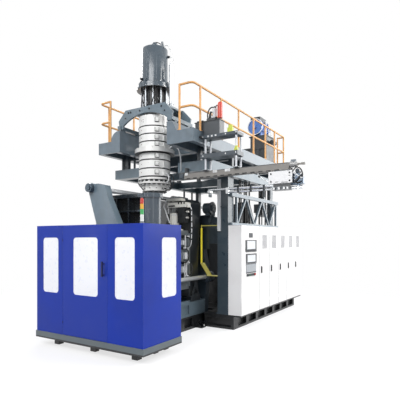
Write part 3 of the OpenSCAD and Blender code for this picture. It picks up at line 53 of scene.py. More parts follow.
# Materials: screen colours from 0 to 255
DUST = (168, 168, 162)
WORN_EDGE = (176, 184, 190)
PAINT_DIRT = (120, 122, 124)
METAL_DIRT = (110, 112, 114)
PLASTIC_DIRT = (90, 90, 90)
# Black of the head's joints and of the painted shade round them
GAP_AND_SHADE_BLACK = (14, 15, 17)
# Black of the painted shade along the lower edge of the ram's flange
FLANGE_SHADE_BAND = (16, 18, 20)
NEAR_BLACK = (20, 22, 25)
GREY_BLUE = (86, 98, 108)
LIGHT_BAND = (226, 229, 234)
CABINET_WHITE = (249, 248, 248)
CABIN_BLUE = (14, 52, 166)


def linear(red, green, blue):
    """A colour as seen on a screen, 0 to 255, as the linear values that the shader takes."""
    def one(value):
        value = value / 255.0
        return value / 12.92 if value <= 0.04045 else ((value + 0.055) / 1.055) ** 2.4
    return (one(red), one(green), one(blue), 1.0)


def scaled(color, factor):
    return tuple(min(1.0, channel * factor) for channel in color[:3]) + (1.0,)


class Shader:
    """A principled material whose colour, roughness and surface vary with position."""

    def __init__(self, name, roughness=0.5, metallic=0.0, coat=0.0):
        self.mat = bpy.data.materials.new(name)
        self.mat.use_nodes = True
        self.tree = self.mat.node_tree
        self.bsdf = self.tree.nodes["Principled BSDF"]
        self.bsdf.inputs["Roughness"].default_value = roughness
        self.bsdf.inputs["Metallic"].default_value = metallic
        self.bsdf.inputs["Coat Weight"].default_value = coat
        self.bsdf.inputs["Coat Roughness"].default_value = 0.12
        self.place = self.tree.nodes.new("ShaderNodeTexCoord").outputs["Object"]
        self.axes = None
        self.rounded = None

    def link(self, output, target):
        self.tree.links.new(output, target)

    def math(self, operation, first, second):
        node = self.tree.nodes.new("ShaderNodeMath")
        node.operation = operation
        for socket, value in zip(node.inputs, (first, second)):
            if isinstance(value, float):
                socket.default_value = value
            else:
                self.link(value, socket)
        return node.outputs["Value"]

    def noise(self, scale, detail=3.0, stretch=(1.0, 1.0, 1.0), distortion=0.0):
        mapping = self.tree.nodes.new("ShaderNodeMapping")
        mapping.inputs["Scale"].default_value = stretch
        self.link(self.place, mapping.inputs["Vector"])
        noise = self.tree.nodes.new("ShaderNodeTexNoise")
        noise.inputs["Scale"].default_value = scale
        noise.inputs["Detail"].default_value = detail
        noise.inputs["Distortion"].default_value = distortion
        self.link(mapping.outputs["Vector"], noise.inputs["Vector"])
        return noise.outputs["Fac"]

    def spread(self, value, low, high, to_low, to_high):
        node = self.tree.nodes.new("ShaderNodeMapRange")
        node.inputs["From Min"].default_value = low
        node.inputs["From Max"].default_value = high
        node.inputs["To Min"].default_value = to_low
        node.inputs["To Max"].default_value = to_high
        self.link(value, node.inputs["Value"])
        return node.outputs["Result"]

    def mix(self, factor, first, second):
        mix = self.tree.nodes.new("ShaderNodeMix")
        mix.data_type = "RGBA"
        self.link(factor, mix.inputs["Factor"])
        for socket, value in ((mix.inputs["A"], first), (mix.inputs["B"], second)):
            if isinstance(value, tuple):
                socket.default_value = value
            else:
                self.link(value, socket)
        return mix.outputs["Result"]

    def zone(self, low, high):
        """1 between the two corners, where None leaves a side open, and 0 elsewhere."""
        if self.axes is None:
            node = self.tree.nodes.new("ShaderNodeSeparateXYZ")
            self.link(self.place, node.inputs["Vector"])
            self.axes = node.outputs
        tests = []
        for axis in range(3):
            if low[axis] is not None:
                tests.append(self.math("GREATER_THAN", self.axes[axis], float(low[axis])))
            if high[axis] is not None:
                tests.append(self.math("LESS_THAN", self.axes[axis], float(high[axis])))
        inside = tests[0]
        for test in tests[1:]:
            inside = self.math("MULTIPLY", inside, test)
        return inside

    def round_edges(self, radius):
        """Edges shaded as if rounded, also read by edge_mask."""
        self.rounded = self.tree.nodes.new("ShaderNodeBevel")
        self.rounded.samples = 4
        self.rounded.inputs["Radius"].default_value = radius

    def edge_mask(self):
        """1 along the rounded edges, broken up by noise."""
        surface = self.tree.nodes.new("ShaderNodeNewGeometry")
        dot = self.tree.nodes.new("ShaderNodeVectorMath")
        dot.operation = "DOT_PRODUCT"
        self.link(self.rounded.outputs["Normal"], dot.inputs[0])
        self.link(surface.outputs["Normal"], dot.inputs[1])
        edge = self.spread(dot.outputs["Value"], 0.86, 0.99, 1.0, 0.0)
        return self.math("MULTIPLY", edge, self.spread(self.noise(24.0, 4.0), 0.35, 0.6, 0.2, 1.0))

    def bump(self, value, strength, distance=0.001):
        bump = self.tree.nodes.new("ShaderNodeBump")
        bump.inputs["Strength"].default_value = strength
        bump.inputs["Distance"].default_value = distance
        self.link(value, bump.inputs["Height"])
        if self.rounded is not None:
            self.link(self.rounded.outputs["Normal"], bump.inputs["Normal"])
        self.link(bump.outputs["Normal"], self.bsdf.inputs["Normal"])

    def color(self, output):
        self.link(output, self.bsdf.inputs["Base Color"])

    def zoned(self, rgb, zones):
        """The base colour, or a mix of it with other colours inside their zones."""
        color = linear(*rgb)
        for low, high, other in zones:
            color = self.mix(self.zone(low, high), color, linear(*other))
        return color

    def mottled(self, color, amount, darker, lighter, dirt, low=0.3, high=0.7):
        """A plain colour varied between two strengths, or a zoned one with a trace of dirt."""
        if isinstance(color, tuple):
            strength = self.spread(amount, low, high, 0.0, 1.0)
            return self.mix(strength, scaled(color, darker), scaled(color, lighter))
        return self.mix(self.spread(amount, low, high, 0.0, 0.06), color, linear(*dirt))

    # Painted light: the surface gives off light of its own colour, though it is no lamp
    def painted_glow(self, rgb, strength):
        self.bsdf.inputs["Emission Color"].default_value = linear(*rgb)
        self.bsdf.inputs["Emission Strength"].default_value = strength

    def rough(self, value, low, high):
        self.link(self.spread(value, 0.3, 0.7, low, high), self.bsdf.inputs["Roughness"])


def paint(name, rgb, roughness=0.42, coat=0.15, dust=0.10, mottle=7.0, zones=(), wear=0.0, edge=0.004,
          gloss=0.5, painted_glow=0.0):
    """Sprayed paint with faint mottling, dust and lighter edges, and other colours in zones; a painted glow
    makes it give off light of its own.
    """
    shader = Shader(name, roughness, 0.0, coat)
    shader.bsdf.inputs["Specular IOR Level"].default_value = gloss
    shader.painted_glow(rgb, painted_glow)
    shader.round_edges(edge)
    broad = shader.noise(mottle, 4.0)
    tint = shader.mottled(shader.zoned(rgb, zones), broad, 0.88, 1.10, PAINT_DIRT, high=0.72)
    patches = shader.spread(shader.noise(2.1, 5.0, distortion=0.6), 0.52, 0.80, 0.0, dust)
    tint = shader.mix(patches, tint, linear(*DUST))
    if wear:
        tint = shader.mix(shader.math("MULTIPLY", shader.edge_mask(), wear), tint, linear(*WORN_EDGE))
    shader.color(tint)
    shader.rough(broad, roughness - 0.06, roughness + 0.10)
    shader.bump(shader.noise(260.0, 2.0), 0.12, 0.0006)
    return shader.mat


def metal(name, rgb, roughness=0.3, grain=(1.0, 1.0, 60.0), spread=0.12, metallic=1.0, zones=()):
    """Bare metal with a fine grain along one direction."""
    shader = Shader(name, roughness, metallic)
    shader.round_edges(0.003)
    lines = shader.noise(40.0, 3.0, grain)
    broad = shader.noise(5.0, 3.0)
    shader.color(shader.mottled(shader.zoned(rgb, zones), broad, 0.86, 1.05, METAL_DIRT))
    shader.rough(lines, roughness - spread / 2.0, roughness + spread / 2.0)
    shader.bump(lines, 0.06, 0.0004)
    return shader.mat


def plastic(name, rgb, roughness=0.35, coat=0.0, painted_glow=0.0, zones=()):
    """Moulded plastic or rubber with a faint grain, and a painted glow if one is given."""
    shader = Shader(name, roughness, 0.0, coat)
    shader.round_edges(0.002)
    broad = shader.noise(18.0, 3.0)
    shader.color(shader.mottled(shader.zoned(rgb, zones), broad, 0.93, 1.04, PLASTIC_DIRT))
    shader.rough(broad, roughness - 0.04, roughness + 0.06)
    shader.bump(shader.noise(420.0, 2.0), 0.08, 0.0003)
    if painted_glow:
        shader.painted_glow(rgb, painted_glow)
    return shader.mat


# Zones: two corners, with ALL for a side left open, and the colour between them
ALL = None
CABIN_TOP = 2.155
LAMP_HEIGHTS = (0.028, 0.132, 0.216, 0.294, 0.384)
LAMP_COLORS = ((236, 240, 238), (60, 176, 96), (240, 178, 50), (206, 52, 40))


def level_band(low, high, color):
    """Zone between two heights."""
    return ((ALL, ALL, low), (ALL, ALL, high), color)


LAMP_BANDS = [level_band(CABIN_TOP + low, CABIN_TOP + high, color)
              for low, high, color in zip(LAMP_HEIGHTS, LAMP_HEIGHTS[1:], LAMP_COLORS)]

# Head: black bands at its joints, painted wider than the gaps, and black bands under the flange, under the
# lower ring and along the die's lower edge: dark joints with painted shade
JOINT_HEIGHTS = (3.3319, 3.5051, 3.8688, 4.0192, 4.176)
JOINT_HALF = 0.012
JOINT_AND_SHADE_ZONES = [level_band(z - JOINT_HALF, z + JOINT_HALF, GAP_AND_SHADE_BLACK) for z in JOINT_HEIGHTS]
JOINT_AND_SHADE_ZONES += [level_band(3.153, 3.183, GAP_AND_SHADE_BLACK), level_band(3.068, 3.112, GAP_AND_SHADE_BLACK),
                level_band(3.634, 3.6525, GAP_AND_SHADE_BLACK), level_band(2.870, 2.892, (30, 32, 34)),
                level_band(3.018, 3.033, GAP_AND_SHADE_BLACK)]

# Hanger posts' white sleeves, and the painted end columns of the front platen
POST_ZONES = [((1.2, ALL, 3.212), (ALL, ALL, 3.412), LIGHT_BAND),
              ((1.2, ALL, 3.518), (ALL, ALL, 3.782), LIGHT_BAND)]
END_COLUMN_X = 0.56
COLUMN_COLOR = (58, 72, 84)
END_COLUMNS = [((x - 0.2, -1.0, 0.60), (x + 0.2, -0.60, 2.8), COLUMN_COLOR)
               for x in (-END_COLUMN_X, END_COLUMN_X)]

# Cabinet doors: dark handles, grey louvres and the seams between the doors
DOOR_COUNT = 5
FIRST_DOOR = 1.943
DOOR_PITCH = 0.599
HANDLE_BACK = 1.4803
HANDLE_COLOR = (26, 28, 31)
LOUVRE_COLOR = (150, 153, 161)
SEAM_COLOR = (120, 122, 128)
DOOR_STARTS = [FIRST_DOOR + DOOR_PITCH * i for i in range(DOOR_COUNT)]
DOOR_ZONES = [((HANDLE_BACK, ALL, 1.10), (ALL, ALL, 1.34), HANDLE_COLOR)]
DOOR_ZONES += [((1.4660, y + 0.1735, 1.701), (1.4799, y + 0.4535, 2.017), LOUVRE_COLOR)
               for y in DOOR_STARTS]
DOOR_ZONES += [((1.460, y - 0.004, ALL), (1.4815, y + 0.010, ALL), SEAM_COLOR) for y in DOOR_STARTS]

# Control panel: two screens and the key field under them
SCREEN_LIGHT = (238, 242, 246)
KEYS_COLOR = (190, 195, 201)
SCREENS = [
    ((1.48, 1.274, 1.703), (1.4985, 1.702, 1.882), SCREEN_LIGHT),
    ((1.48, 1.289, 1.424), (1.4985, 1.712, 1.577), SCREEN_LIGHT),
    ((1.4849, 1.245, 1.205), (1.492, 1.757, 1.375), KEYS_COLOR),
]

MATERIALS = {
    "light_paint": paint("light_paint", (108, 122, 133), 0.34, 0.35, wear=0.55),
    "mid_paint": paint("mid_paint", (101, 118, 129), 0.34, 0.35, wear=0.55),
    "dark_paint": paint("dark_paint", (50, 61, 70), 0.32, 0.4, wear=0.45),
    "deep_paint": paint("deep_paint", (30, 36, 42), 0.34, 0.35, wear=0.55),
    "black_paint": paint("black_paint", NEAR_BLACK, 0.40, dust=0.14, wear=0.3),
    "column_paint": paint("column_paint", (60, 74, 84), 0.32, 0.4, wear=0.4,
                          zones=[((0.924, 0.978, 2.09), (0.998, 1.016, 3.21), (238, 240, 242))]),
    # Ram paint, with a black band of painted shade along the lower edge of its flange
    "ram_paint": paint("ram_paint", (64, 78, 89), 0.24, coat=0.35, dust=0.02,
                       zones=[level_band(4.94, 4.956, FLANGE_SHADE_BAND)]),
    "rail_paint": paint("rail_paint", (232, 172, 104), 0.40, dust=0.04),
    "blue_paint": paint("blue_paint", CABIN_BLUE, 0.42, 0.12, 0.02, 1.4, wear=0.2, gloss=0.25),
    "handle_paint": paint("handle_paint", CABIN_BLUE, 0.42, 0.12, 0.02, 1.4, wear=0.2, gloss=0.25,
                          zones=[((ALL, ALL, ALL), (ALL, -1.8652, ALL), (16, 24, 70))]),
    "motor_paint": paint("motor_paint", (84, 128, 204), 0.36, wear=0.3,
                         zones=[((0.19, 4.24, 5.334), (0.512, 4.69, 5.476), (34, 40, 47))]),
    # The cabinets' white paint glows faintly: painted light that brightens their faces
    "white_paint": paint("white_paint", CABINET_WHITE, 0.45, 0.0, 0.01, 1.6, edge=0.003, gloss=0.12,
                         painted_glow=0.12),
    "door_paint": paint("door_paint", CABINET_WHITE, 0.45, 0.0, 0.01, 1.6, DOOR_ZONES, edge=0.003,
                        gloss=0.12, painted_glow=0.07),
    "unit_paint": paint("unit_paint", (228, 226, 218), 0.40, 0.2, 0.05, 6.0, gloss=0.3,
                        zones=[((0.306, ALL, 2.258), (0.484, ALL, 2.5845), (24, 27, 30)),
                               level_band(2.686, 2.724, (26, 29, 32)),
                               ((ALL, ALL, 2.470), (0.30, ALL, 2.584), (96, 98, 98))]),
    # The carriage's white paint glows faintly: painted light
    "carriage_paint": paint("carriage_paint", (248, 248, 249), 0.40, 0.1, 0.01, 3.0, gloss=0.3, painted_glow=0.10,
                            zones=[level_band(ALL, 2.8475, (92, 100, 108)),
                                   ((ALL, -0.1175, ALL), (ALL, ALL, ALL), (70, 76, 82))]),
    "hanger_paint": paint("hanger_paint", (60, 70, 79), 0.34, 0.3, zones=POST_ZONES, wear=0.4),
    "platen_paint": paint("platen_paint", (30, 36, 42), 0.22, 0.7, 0.05, zones=END_COLUMNS, wear=0.5),
    "bar_chrome": metal("bar_chrome", (222, 225, 228), 0.18, (1.0, 30.0, 1.0), 0.05, 0.5,
                        zones=[((ALL, ALL, ALL), (ALL, -1.21, ALL), (84, 97, 108))]),
    # Head steel, with the black joint bands and their painted shade
    "head_metal": metal("head_metal", (222, 222, 220), 0.36, (1.0, 1.0, 50.0), metallic=0.35,
                        zones=JOINT_AND_SHADE_ZONES),
    "light_steel": metal("light_steel", (222, 223, 224), 0.30, (1.0, 1.0, 30.0), metallic=0.4),
    "tray_paint": paint("tray_paint", (98, 108, 113), 0.42, 0.2, wear=0.3,
                        zones=[level_band(ALL, 0.165, NEAR_BLACK)]),
    "rust": paint("rust", (118, 56, 42), 0.6, 0.0),
    # The light curtain's yellow paint glows: painted light
    "yellow_paint": paint("yellow_paint", (246, 228, 50), 0.32, coat=0.3, dust=0.02, painted_glow=0.30,
                          zones=[level_band(ALL, 1.399, GREY_BLUE),
                                 level_band(2.170, ALL, GREY_BLUE)]),
    "red_paint": paint("red_paint", (208, 66, 48), 0.33, coat=0.3, dust=0.02),
    "valve_paint": paint("valve_paint", (56, 62, 68), 0.36, coat=0.3, wear=0.35,
                         zones=[level_band(4.124, 4.14, NEAR_BLACK),
                                ((1.35, -0.04, 4.19), (1.47, 0.08, 4.41), (206, 208, 212))]),
    # Heater bands, with the black joint bands and their painted shade
    "band_steel": metal("band_steel", (240, 240, 238), 0.42, (1.0, 1.0, 30.0), metallic=0.12,
                        zones=JOINT_AND_SHADE_ZONES),
    "turned_steel": metal("turned_steel", (196, 198, 198), 0.32, (1.0, 1.0, 50.0), metallic=0.7),
    "chrome": metal("chrome", (214, 217, 220), 0.12, (30.0, 1.0, 1.0), 0.05),
    "arm_steel": metal("arm_steel", (205, 208, 211), 0.16, (1.0, 30.0, 30.0), 0.06,
                       zones=[((2.88, -0.072, 2.80), (3.14, 0.032, 3.0), (96, 108, 122)),
                              ((3.0, -0.102, 3.0), (3.08, 0.022, 3.09), (60, 66, 72))]),
    "mould_steel": metal("mould_steel", (150, 156, 160), 0.38, (1.0, 1.0, 20.0), metallic=0.8),
    "tool_steel": metal("tool_steel", (110, 116, 120), 0.40, (1.0, 1.0, 20.0)),
    "profile": metal("profile", (134, 131, 127), 0.46, (1.0, 40.0, 40.0), metallic=0.25,
                     zones=[((ALL, ALL, ALL), (0.775, ALL, ALL), (74, 83, 90)),
                            ((ALL, ALL, 3.186), (2.86, ALL, ALL), (74, 76, 78))]),
    "cage_steel": metal("cage_steel", (186, 191, 196), 0.30, (1.0, 1.0, 20.0), metallic=0.5,
                        zones=[((0.36, ALL, 4.61), (ALL, ALL, ALL), (206, 209, 212))]),
    "dark_steel": metal("dark_steel", (56, 60, 64), 0.42, (1.0, 1.0, 20.0), metallic=0.6),
    "black_plastic": plastic("black_plastic", (20, 22, 24), 0.45),
    "rubber": plastic("rubber", (22, 23, 25), 0.60),
    "grey_plastic": plastic("grey_plastic", (120, 128, 136), 0.45),
    "white_plastic": plastic("white_plastic", (228, 230, 232), 0.32, 0.2),
    # The window plastic glows: painted light that makes the panes read white
    "window": plastic("window", (240, 241, 247), 0.30, 0.30, 0.18),
    "panel": plastic("panel", (40, 46, 54), 0.40, 0.1, zones=SCREENS),
    "lamp": plastic("lamp", (120, 126, 132), 0.22, 0.5, zones=LAMP_BANDS),
    "lime_plastic": plastic("lime_plastic", (205, 214, 84), 0.35),
    "red_plastic": plastic("red_plastic", (196, 34, 30), 0.25, 0.4),
    "green_plastic": plastic("green_plastic", (34, 150, 74), 0.3, 0.3),
}

NODE_PAINT = {
    "black_paint": ["clamp_base", "rear_base"],
    "tray_paint": ["cabin_frame"],
    "light_paint": ["trusses", "platform"],
    "mid_paint": ["clamp_bed", "front_tail_plate", "ring_frame", "head_yoke"],
    "hanger_paint": ["hanger_frame"],
    "platen_paint": ["front_platen"],
    "bar_chrome": ["tie_bars"],
    "unit_paint": ["mould_top_unit"],
    "carriage_paint": ["takeout_carriage"],
    "head_metal": ["head_upper", "head_flange", "head_lower", "die_bush"],
    "dark_paint": ["rear_tail_plate", "frame_posts"],
    "column_paint": ["columns"],
    "deep_paint": ["clamp_cylinders", "rear_platen", "gearbox"],
    "chrome": ["front_ram", "rear_ram", "blow_pin", "piston_rod"],
    "arm_steel": ["takeout_arm"],
    "mould_steel": ["front_mould", "rear_mould"],
    "profile": ["takeout_beam"],
    "cage_steel": ["ram_cage"],
    "white_paint": ["control_cabinets"],
    "door_paint": ["cabinet_door_%d" % index for index in range(1, DOOR_COUNT + 1)],
    "rail_paint": ["handrails"],
    "band_steel": ["heater_bands", "barrel_heaters"],
    "turned_steel": ["extruder_barrel"],
    "tool_steel": ["die_pin", "extruder_screw", "gripper_left", "gripper_right"],
    "ram_paint": ["ram_cylinder"],
    "motor_paint": ["drive_motor"],
    "valve_paint": ["valve_unit"],
    "red_paint": ["gas_bottle"],
    "blue_paint": ["cabin_panels"],
    "handle_paint": ["cabin_door"],
    "window": ["cabin_windows", "door_window"],
    "panel": ["control_panel"],
    "yellow_paint": ["light_curtain"],
    "lamp": ["stack_light"],
    "red_plastic": ["emergency_stop"],
    "green_plastic": ["start_button"],
}
for material_name, names in NODE_PAINT.items():
    for node_name in names:
        slots = nodes[node_name].data.materials
        slots.clear()
        slots.append(MATERIALS[material_name])


# Pieces

def polar(radius, degrees, z):
    """Point at a distance and an angle from the head's axis."""
    angle = math.radians(degrees)
    return (radius * math.cos(angle), radius * math.sin(angle), z)


def round_steps(count, start=0.0):
    """Evenly spaced angles in degrees, once round an axis."""
    return [start + 360.0 / count * step for step in range(count)]


def wall_faces(rings, sides, closed):
    """Faces between rings of points that follow each other, with an end on each side if closed."""
    faces = []
    for ring in range(rings - 1):
        low = ring * sides
        for step in range(sides):
            after = (step + 1) % sides
            faces.append((low + step, low + after, low + sides + after, low + sides + step))
    if closed:
        faces.append(tuple(reversed(range(sides))))
        faces.append(tuple(range((rings - 1) * sides, rings * sides)))
    return faces


BOX_FACES = [(0, 2, 3, 1), (4, 5, 7, 6), (0, 1, 5, 4), (1, 3, 7, 5), (3, 2, 6, 7), (2, 0, 4, 6)]
UP = (0.0, 0.0, 1.0)
FORWARD = (0.0, -1.0, 0.0)
RIGHT = (1.0, 0.0, 0.0)


class Piece:
    """One mesh made of plain forms, each with its own material."""

    def __init__(self, name, material, body="machine_frame", slot=None, edge=0.0):
        self.name = name
        self.body = body
        self.slot = slot
        self.edge = edge
        self.points = []
        self.faces = []
        self.indices = []
        self.materials = []
        self.use(material)

    def use(self, material):
        """Forms added after this get the named material."""
        if material not in self.materials:
            self.materials.append(material)
        self.index = self.materials.index(material)
        return self

    def add(self, points, faces):
        base = len(self.points)
        self.points.extend(Vector(point) for point in points)
        self.faces.extend([base + corner for corner in face] for face in faces)
        self.indices.extend([self.index] * len(faces))
        return self

    def box(self, low, high, degrees=0.0):
        """Box between two corners, turned round the head's axis."""
        cosine = math.cos(math.radians(degrees))
        sine = math.sin(math.radians(degrees))
        points = [(u * cosine - v * sine, u * sine + v * cosine, z)
                  for z in (low[2], high[2]) for v in (low[1], high[1]) for u in (low[0], high[0])]
        return self.add(points, BOX_FACES)

    def lathe(self, profile, place, axis=UP, sides=28, closed=True):
        """Turned form from pairs of radius and distance along the axis."""
        turn = Vector(axis).to_track_quat("Z", "Y").to_matrix()
        place = Vector(place)
        points = []
        for radius, along in profile:
            for step in range(sides):
                angle = 2.0 * math.pi * step / sides
                across = (radius * math.cos(angle), radius * math.sin(angle), along)
                points.append(place + turn @ Vector(across))
        return self.add(points, wall_faces(len(profile), sides, closed))

    def rod(self, start, end, radius, sides=18):
        span = Vector(end) - Vector(start)
        return self.lathe([(radius, 0.0), (radius, span.length)], start, span, sides)

    def stud(self, inner, outer, degrees, z, radius, sides=8):
        """Rod that points away from the head's axis."""
        return self.rod(polar(inner, degrees, z), polar(outer, degrees, z), radius, sides=sides)

    def collar(self, inner, outer, half, place, axis=UP, sides=24):
        """Ring round a rod or tube."""
        profile = [(inner, -half), (outer, -half), (outer, half), (inner, half)]
        return self.lathe(profile, place, axis, sides, False)

    def bolt(self, place, axis, size=0.012):
        """Hex head on a washer."""
        axis = Vector(axis).normalized()
        place = Vector(place)
        self.lathe([(size * 1.4, 0.0), (size * 1.4, size * 0.2)], place, axis, 14)
        head = [(size, size * 0.2), (size, size * 0.9), (size * 0.8, size * 1.05)]
        return self.lathe(head, place, axis, 6)

    def tube(self, path, radius, sides=10, steps=4):
        """Round tube along a smooth curve through the points of the path."""
        fixed = [Vector(point) for point in path]
        points = []
        for index in range(len(fixed) - 1):
            before = fixed[max(index - 1, 0)]
            first, second = fixed[index], fixed[index + 1]
            after = fixed[min(index + 2, len(fixed) - 1)]
            for step in range(steps):
                t = step / steps
                points.append(0.5 * ((2.0 * first) + (second - before) * t
                                     + (2.0 * before - 5.0 * first + 4.0 * second - after) * t * t
                                     + (3.0 * first - before - 3.0 * second + after) * t * t * t))
        points.append(fixed[-1])
        heading = (points[1] - points[0]).normalized()
        side = heading.orthogonal().normalized()
        rings = []
        for index, point in enumerate(points):
            ahead = points[min(index + 1, len(points) - 1)] - points[max(index - 1, 0)]
            heading = ahead.normalized()
            side = (side - heading * side.dot(heading)).normalized()
            up = heading.cross(side)
            for step in range(sides):
                angle = 2.0 * math.pi * step / sides
                rings.append(point + radius * (side * math.cos(angle) + up * math.sin(angle)))
        return self.add(rings, wall_faces(len(points), sides, True))

    def prism(self, outline, axis, low, high):
        """Outline in the plane across an axis, pushed from low to high along it."""
        points = []
        for along in (low, high):
            for first, second in outline:
                points.append({"x": (along, first, second), "y": (first, along, second),
                               "z": (first, second, along)}[axis])
        count = len(outline)
        faces = [(i, (i + 1) % count, count + (i + 1) % count, count + i) for i in range(count)]
        faces.append(tuple(reversed(range(count))))
        faces.append(tuple(range(count, 2 * count)))
        return self.add(points, faces)

    def done(self):
        mesh = bpy.data.meshes.new(self.name)
        mesh.from_pydata([tuple(point) for point in self.points], [], self.faces)
        for material in self.materials:
            mesh.materials.append(MATERIALS[material])
        mesh.polygons.foreach_set("material_index", self.indices)
        work = bmesh.new()
        work.from_mesh(mesh)
        bmesh.ops.recalc_face_normals(work, faces=work.faces)
        work.to_mesh(mesh)
        work.free()
        mesh.polygons.foreach_set("use_smooth", [True] * len(mesh.polygons))
        mesh.set_sharp_from_angle(angle=math.radians(34.0))
        piece = bpy.data.objects.new(self.name, mesh)
        scene.collection.objects.link(piece)
        if self.edge:
            bevel = piece.modifiers.new("edge", "BEVEL")
            bevel.width = self.edge
            bevel.segments = 2
            bevel.angle_limit = math.radians(40.0)
            bevel.harden_normals = True
        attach(piece, self.body)
        return piece


# Head
HEAD_SKIN = 0.319
TERMINAL_TURN = -44.0
BAND_HEIGHTS = (3.2516, 3.4185, 3.5776, 3.8144, 3.9440, 4.0976, 4.2880)
FLANGE_CLAMPS = 20
DIE_BOLTS = 12

fittings = Piece("head_fittings", "black_plastic", slot="head_steel")
for z in BAND_HEIGHTS:
    fittings.use("black_plastic")
    fittings.box((0.3205, -0.043, z - 0.044), (0.3235, 0.043, z + 0.044), TERMINAL_TURN)
    fittings.use("band_steel")
    fittings.box((0.3535, -0.030, z - 0.031), (0.3565, 0.030, z + 0.031), TERMINAL_TURN)
    fittings.use("dark_steel")
    for side in (-1.0, 1.0):
        y = side * 0.018
        fittings.box((0.3564, y - 0.004, z - 0.020), (0.3578, y + 0.004, z - 0.012), TERMINAL_TURN)
    fittings.use("rust")
    for degrees in (-106.7, 73.0, 150.0):
        fittings.stud(HEAD_SKIN, 0.3245, degrees, z, 0.0075)
    fittings.use("light_steel")
    for degrees in (-75.0, -128.0, 110.0, 180.0):
        fittings.stud(HEAD_SKIN, 0.3225, degrees, z + 0.02, 0.006)
fittings.use("dark_steel")
for degrees, z in ((-97.0, 4.305), (-50.0, 4.268), (-97.0, 4.262)):
    fittings.stud(HEAD_SKIN, 0.3235, degrees, z, 0.008)
fittings.use("light_steel")
for degrees in round_steps(FLANGE_CLAMPS):
    fittings.box((0.300, -0.016, 3.0830), (0.3340, 0.016, 3.0970), degrees)
    fittings.box((0.3255, -0.014, 3.064), (0.3340, 0.014, 3.0835), degrees)
    fittings.box((0.262, -0.018, 3.004), (0.3240, 0.018, 3.0198), degrees + 9.0)
fittings.use("black_plastic")
for degrees in round_steps(DIE_BOLTS, -104.0):
    fittings.stud(0.249, 0.263, degrees, 2.945, 0.010, 6)
fittings.use("rubber")
fittings.tube([(-0.222, -0.240, 3.055), (-0.205, -0.262, 3.035), (-0.120, -0.262, 2.945),
               (-0.090, -0.240, 2.905)], 0.010)
fittings.tube([(0.325, -0.02, 3.13), (0.385, -0.02, 3.13), (0.42, -0.01, 3.05), (0.40, 0.0, 2.94),
               (0.33, 0.0, 2.92), (0.252, 0.0, 2.95)], 0.012)
fittings.tube([(0.322, 0.06, 3.22), (0.41, 0.05, 3.20), (0.455, 0.04, 3.10), (0.44, 0.03, 2.99),
               (0.35, 0.03, 2.90), (0.248, 0.03, 2.91)], 0.009)
fittings.use("white_plastic")
fittings.tube([(0.372, 0.0, 3.725), (0.405, 0.0, 3.765), (0.482, 0.0, 3.775), (0.592, 0.0, 3.70),
               (0.632, 0.01, 3.56), (0.612, 0.06, 3.42), (0.572, 0.12, 3.31), (0.545, 0.150, 3.29)], 0.012)
fittings.tube([(0.318, -0.06, 3.24), (0.37, -0.07, 3.22), (0.40, -0.06, 3.16), (0.385, -0.05, 3.08),
               (0.330, -0.045, 3.06)], 0.011)
fittings.done()

# Ram: a jacket round the cylinder, gussets on its flange, ports and lines
RAM_SKIN = 0.2372
JACKET = 0.267
GUSSETS = 9
GUSSET_HALF = 0.008
FLANGE_STUDS = 18
GUSSET_OUTLINE = ((0.265, 5.050), (0.338, 5.050), (0.338, 5.066), (0.280, 5.150), (0.265, 5.150))

ram = Piece("ram_fittings", "ram_paint", slot="ram_paint")
ram.lathe([(RAM_SKIN, 5.052), (0.262, 5.052), (0.262, 5.075), (JACKET, 5.082), (JACKET, 5.790),
           (0.262, 5.800), (0.250, 5.800), (0.246, 5.812), (RAM_SKIN, 5.812)],
          (0.0, 0.0, 0.0), sides=72, closed=False)
for degrees in round_steps(GUSSETS, 30.0):
    angle = math.radians(degrees)
    across = Vector((-math.sin(angle), math.cos(angle), 0.0)) * GUSSET_HALF
    corners = [Vector(polar(radius, degrees, z)) for radius, z in GUSSET_OUTLINE]
    count = len(corners)
    faces = [tuple(range(count)), tuple(reversed(range(count, 2 * count)))]
    faces += [(i, count + i, count + (i + 1) % count, (i + 1) % count) for i in range(count)]
    ram.add([corner + across for corner in corners] + [corner - across for corner in corners], faces)
ram.use("light_steel")
for degrees in round_steps(GUSSETS, 10.0):
    ram.lathe([(0.012, 0.0), (0.012, 0.010), (0.007, 0.012)], polar(0.295, degrees, 5.0795), sides=10)
for degrees in round_steps(FLANGE_STUDS):
    ram.stud(0.364, 0.372, degrees, 4.972, 0.007)
ram.use("dark_steel")
for degrees, z in ((-118.0, 5.16), (28.0, 5.66), (98.0, 5.20)):
    ram.stud(0.262, 0.300, degrees, z, 0.026, 20)
    ram.stud(0.300, 0.316, degrees, z, 0.019, 6)
ram.use("rubber")
ram.tube([(-0.036, -0.04, 5.862), (-0.046, -0.04, 5.910), (-0.010, -0.035, 5.940), (0.060, -0.02, 5.948),
          (0.118, 0.03, 5.925), (0.136, 0.055, 5.905)], 0.009)
ram.use("light_steel")
ram.tube([(0.186, 0.02, 5.812), (0.225, 0.0, 5.835), (0.339, 0.0, 5.820), (0.372, 0.0, 5.755),
          (0.428, 0.0, 5.675), (0.425, 0.0, 5.56), (0.425, 0.0, 5.448)], 0.008)
ram.tube([polar(0.312, 28.0, 5.66), polar(0.360, 27.0, 5.64), (0.395, 0.10, 5.55), (0.405, 0.06, 5.40),
          (0.408, 0.047, 5.25)], 0.008)
ram.done()

# Cage: dark slats inside the rods, painted shade standing in for the dark cage interior, and cables
CAGE_LOW = 4.561
CAGE_HIGH = 4.949
SHADE_SLATS = 24
SLAT_GAP = 0.0005

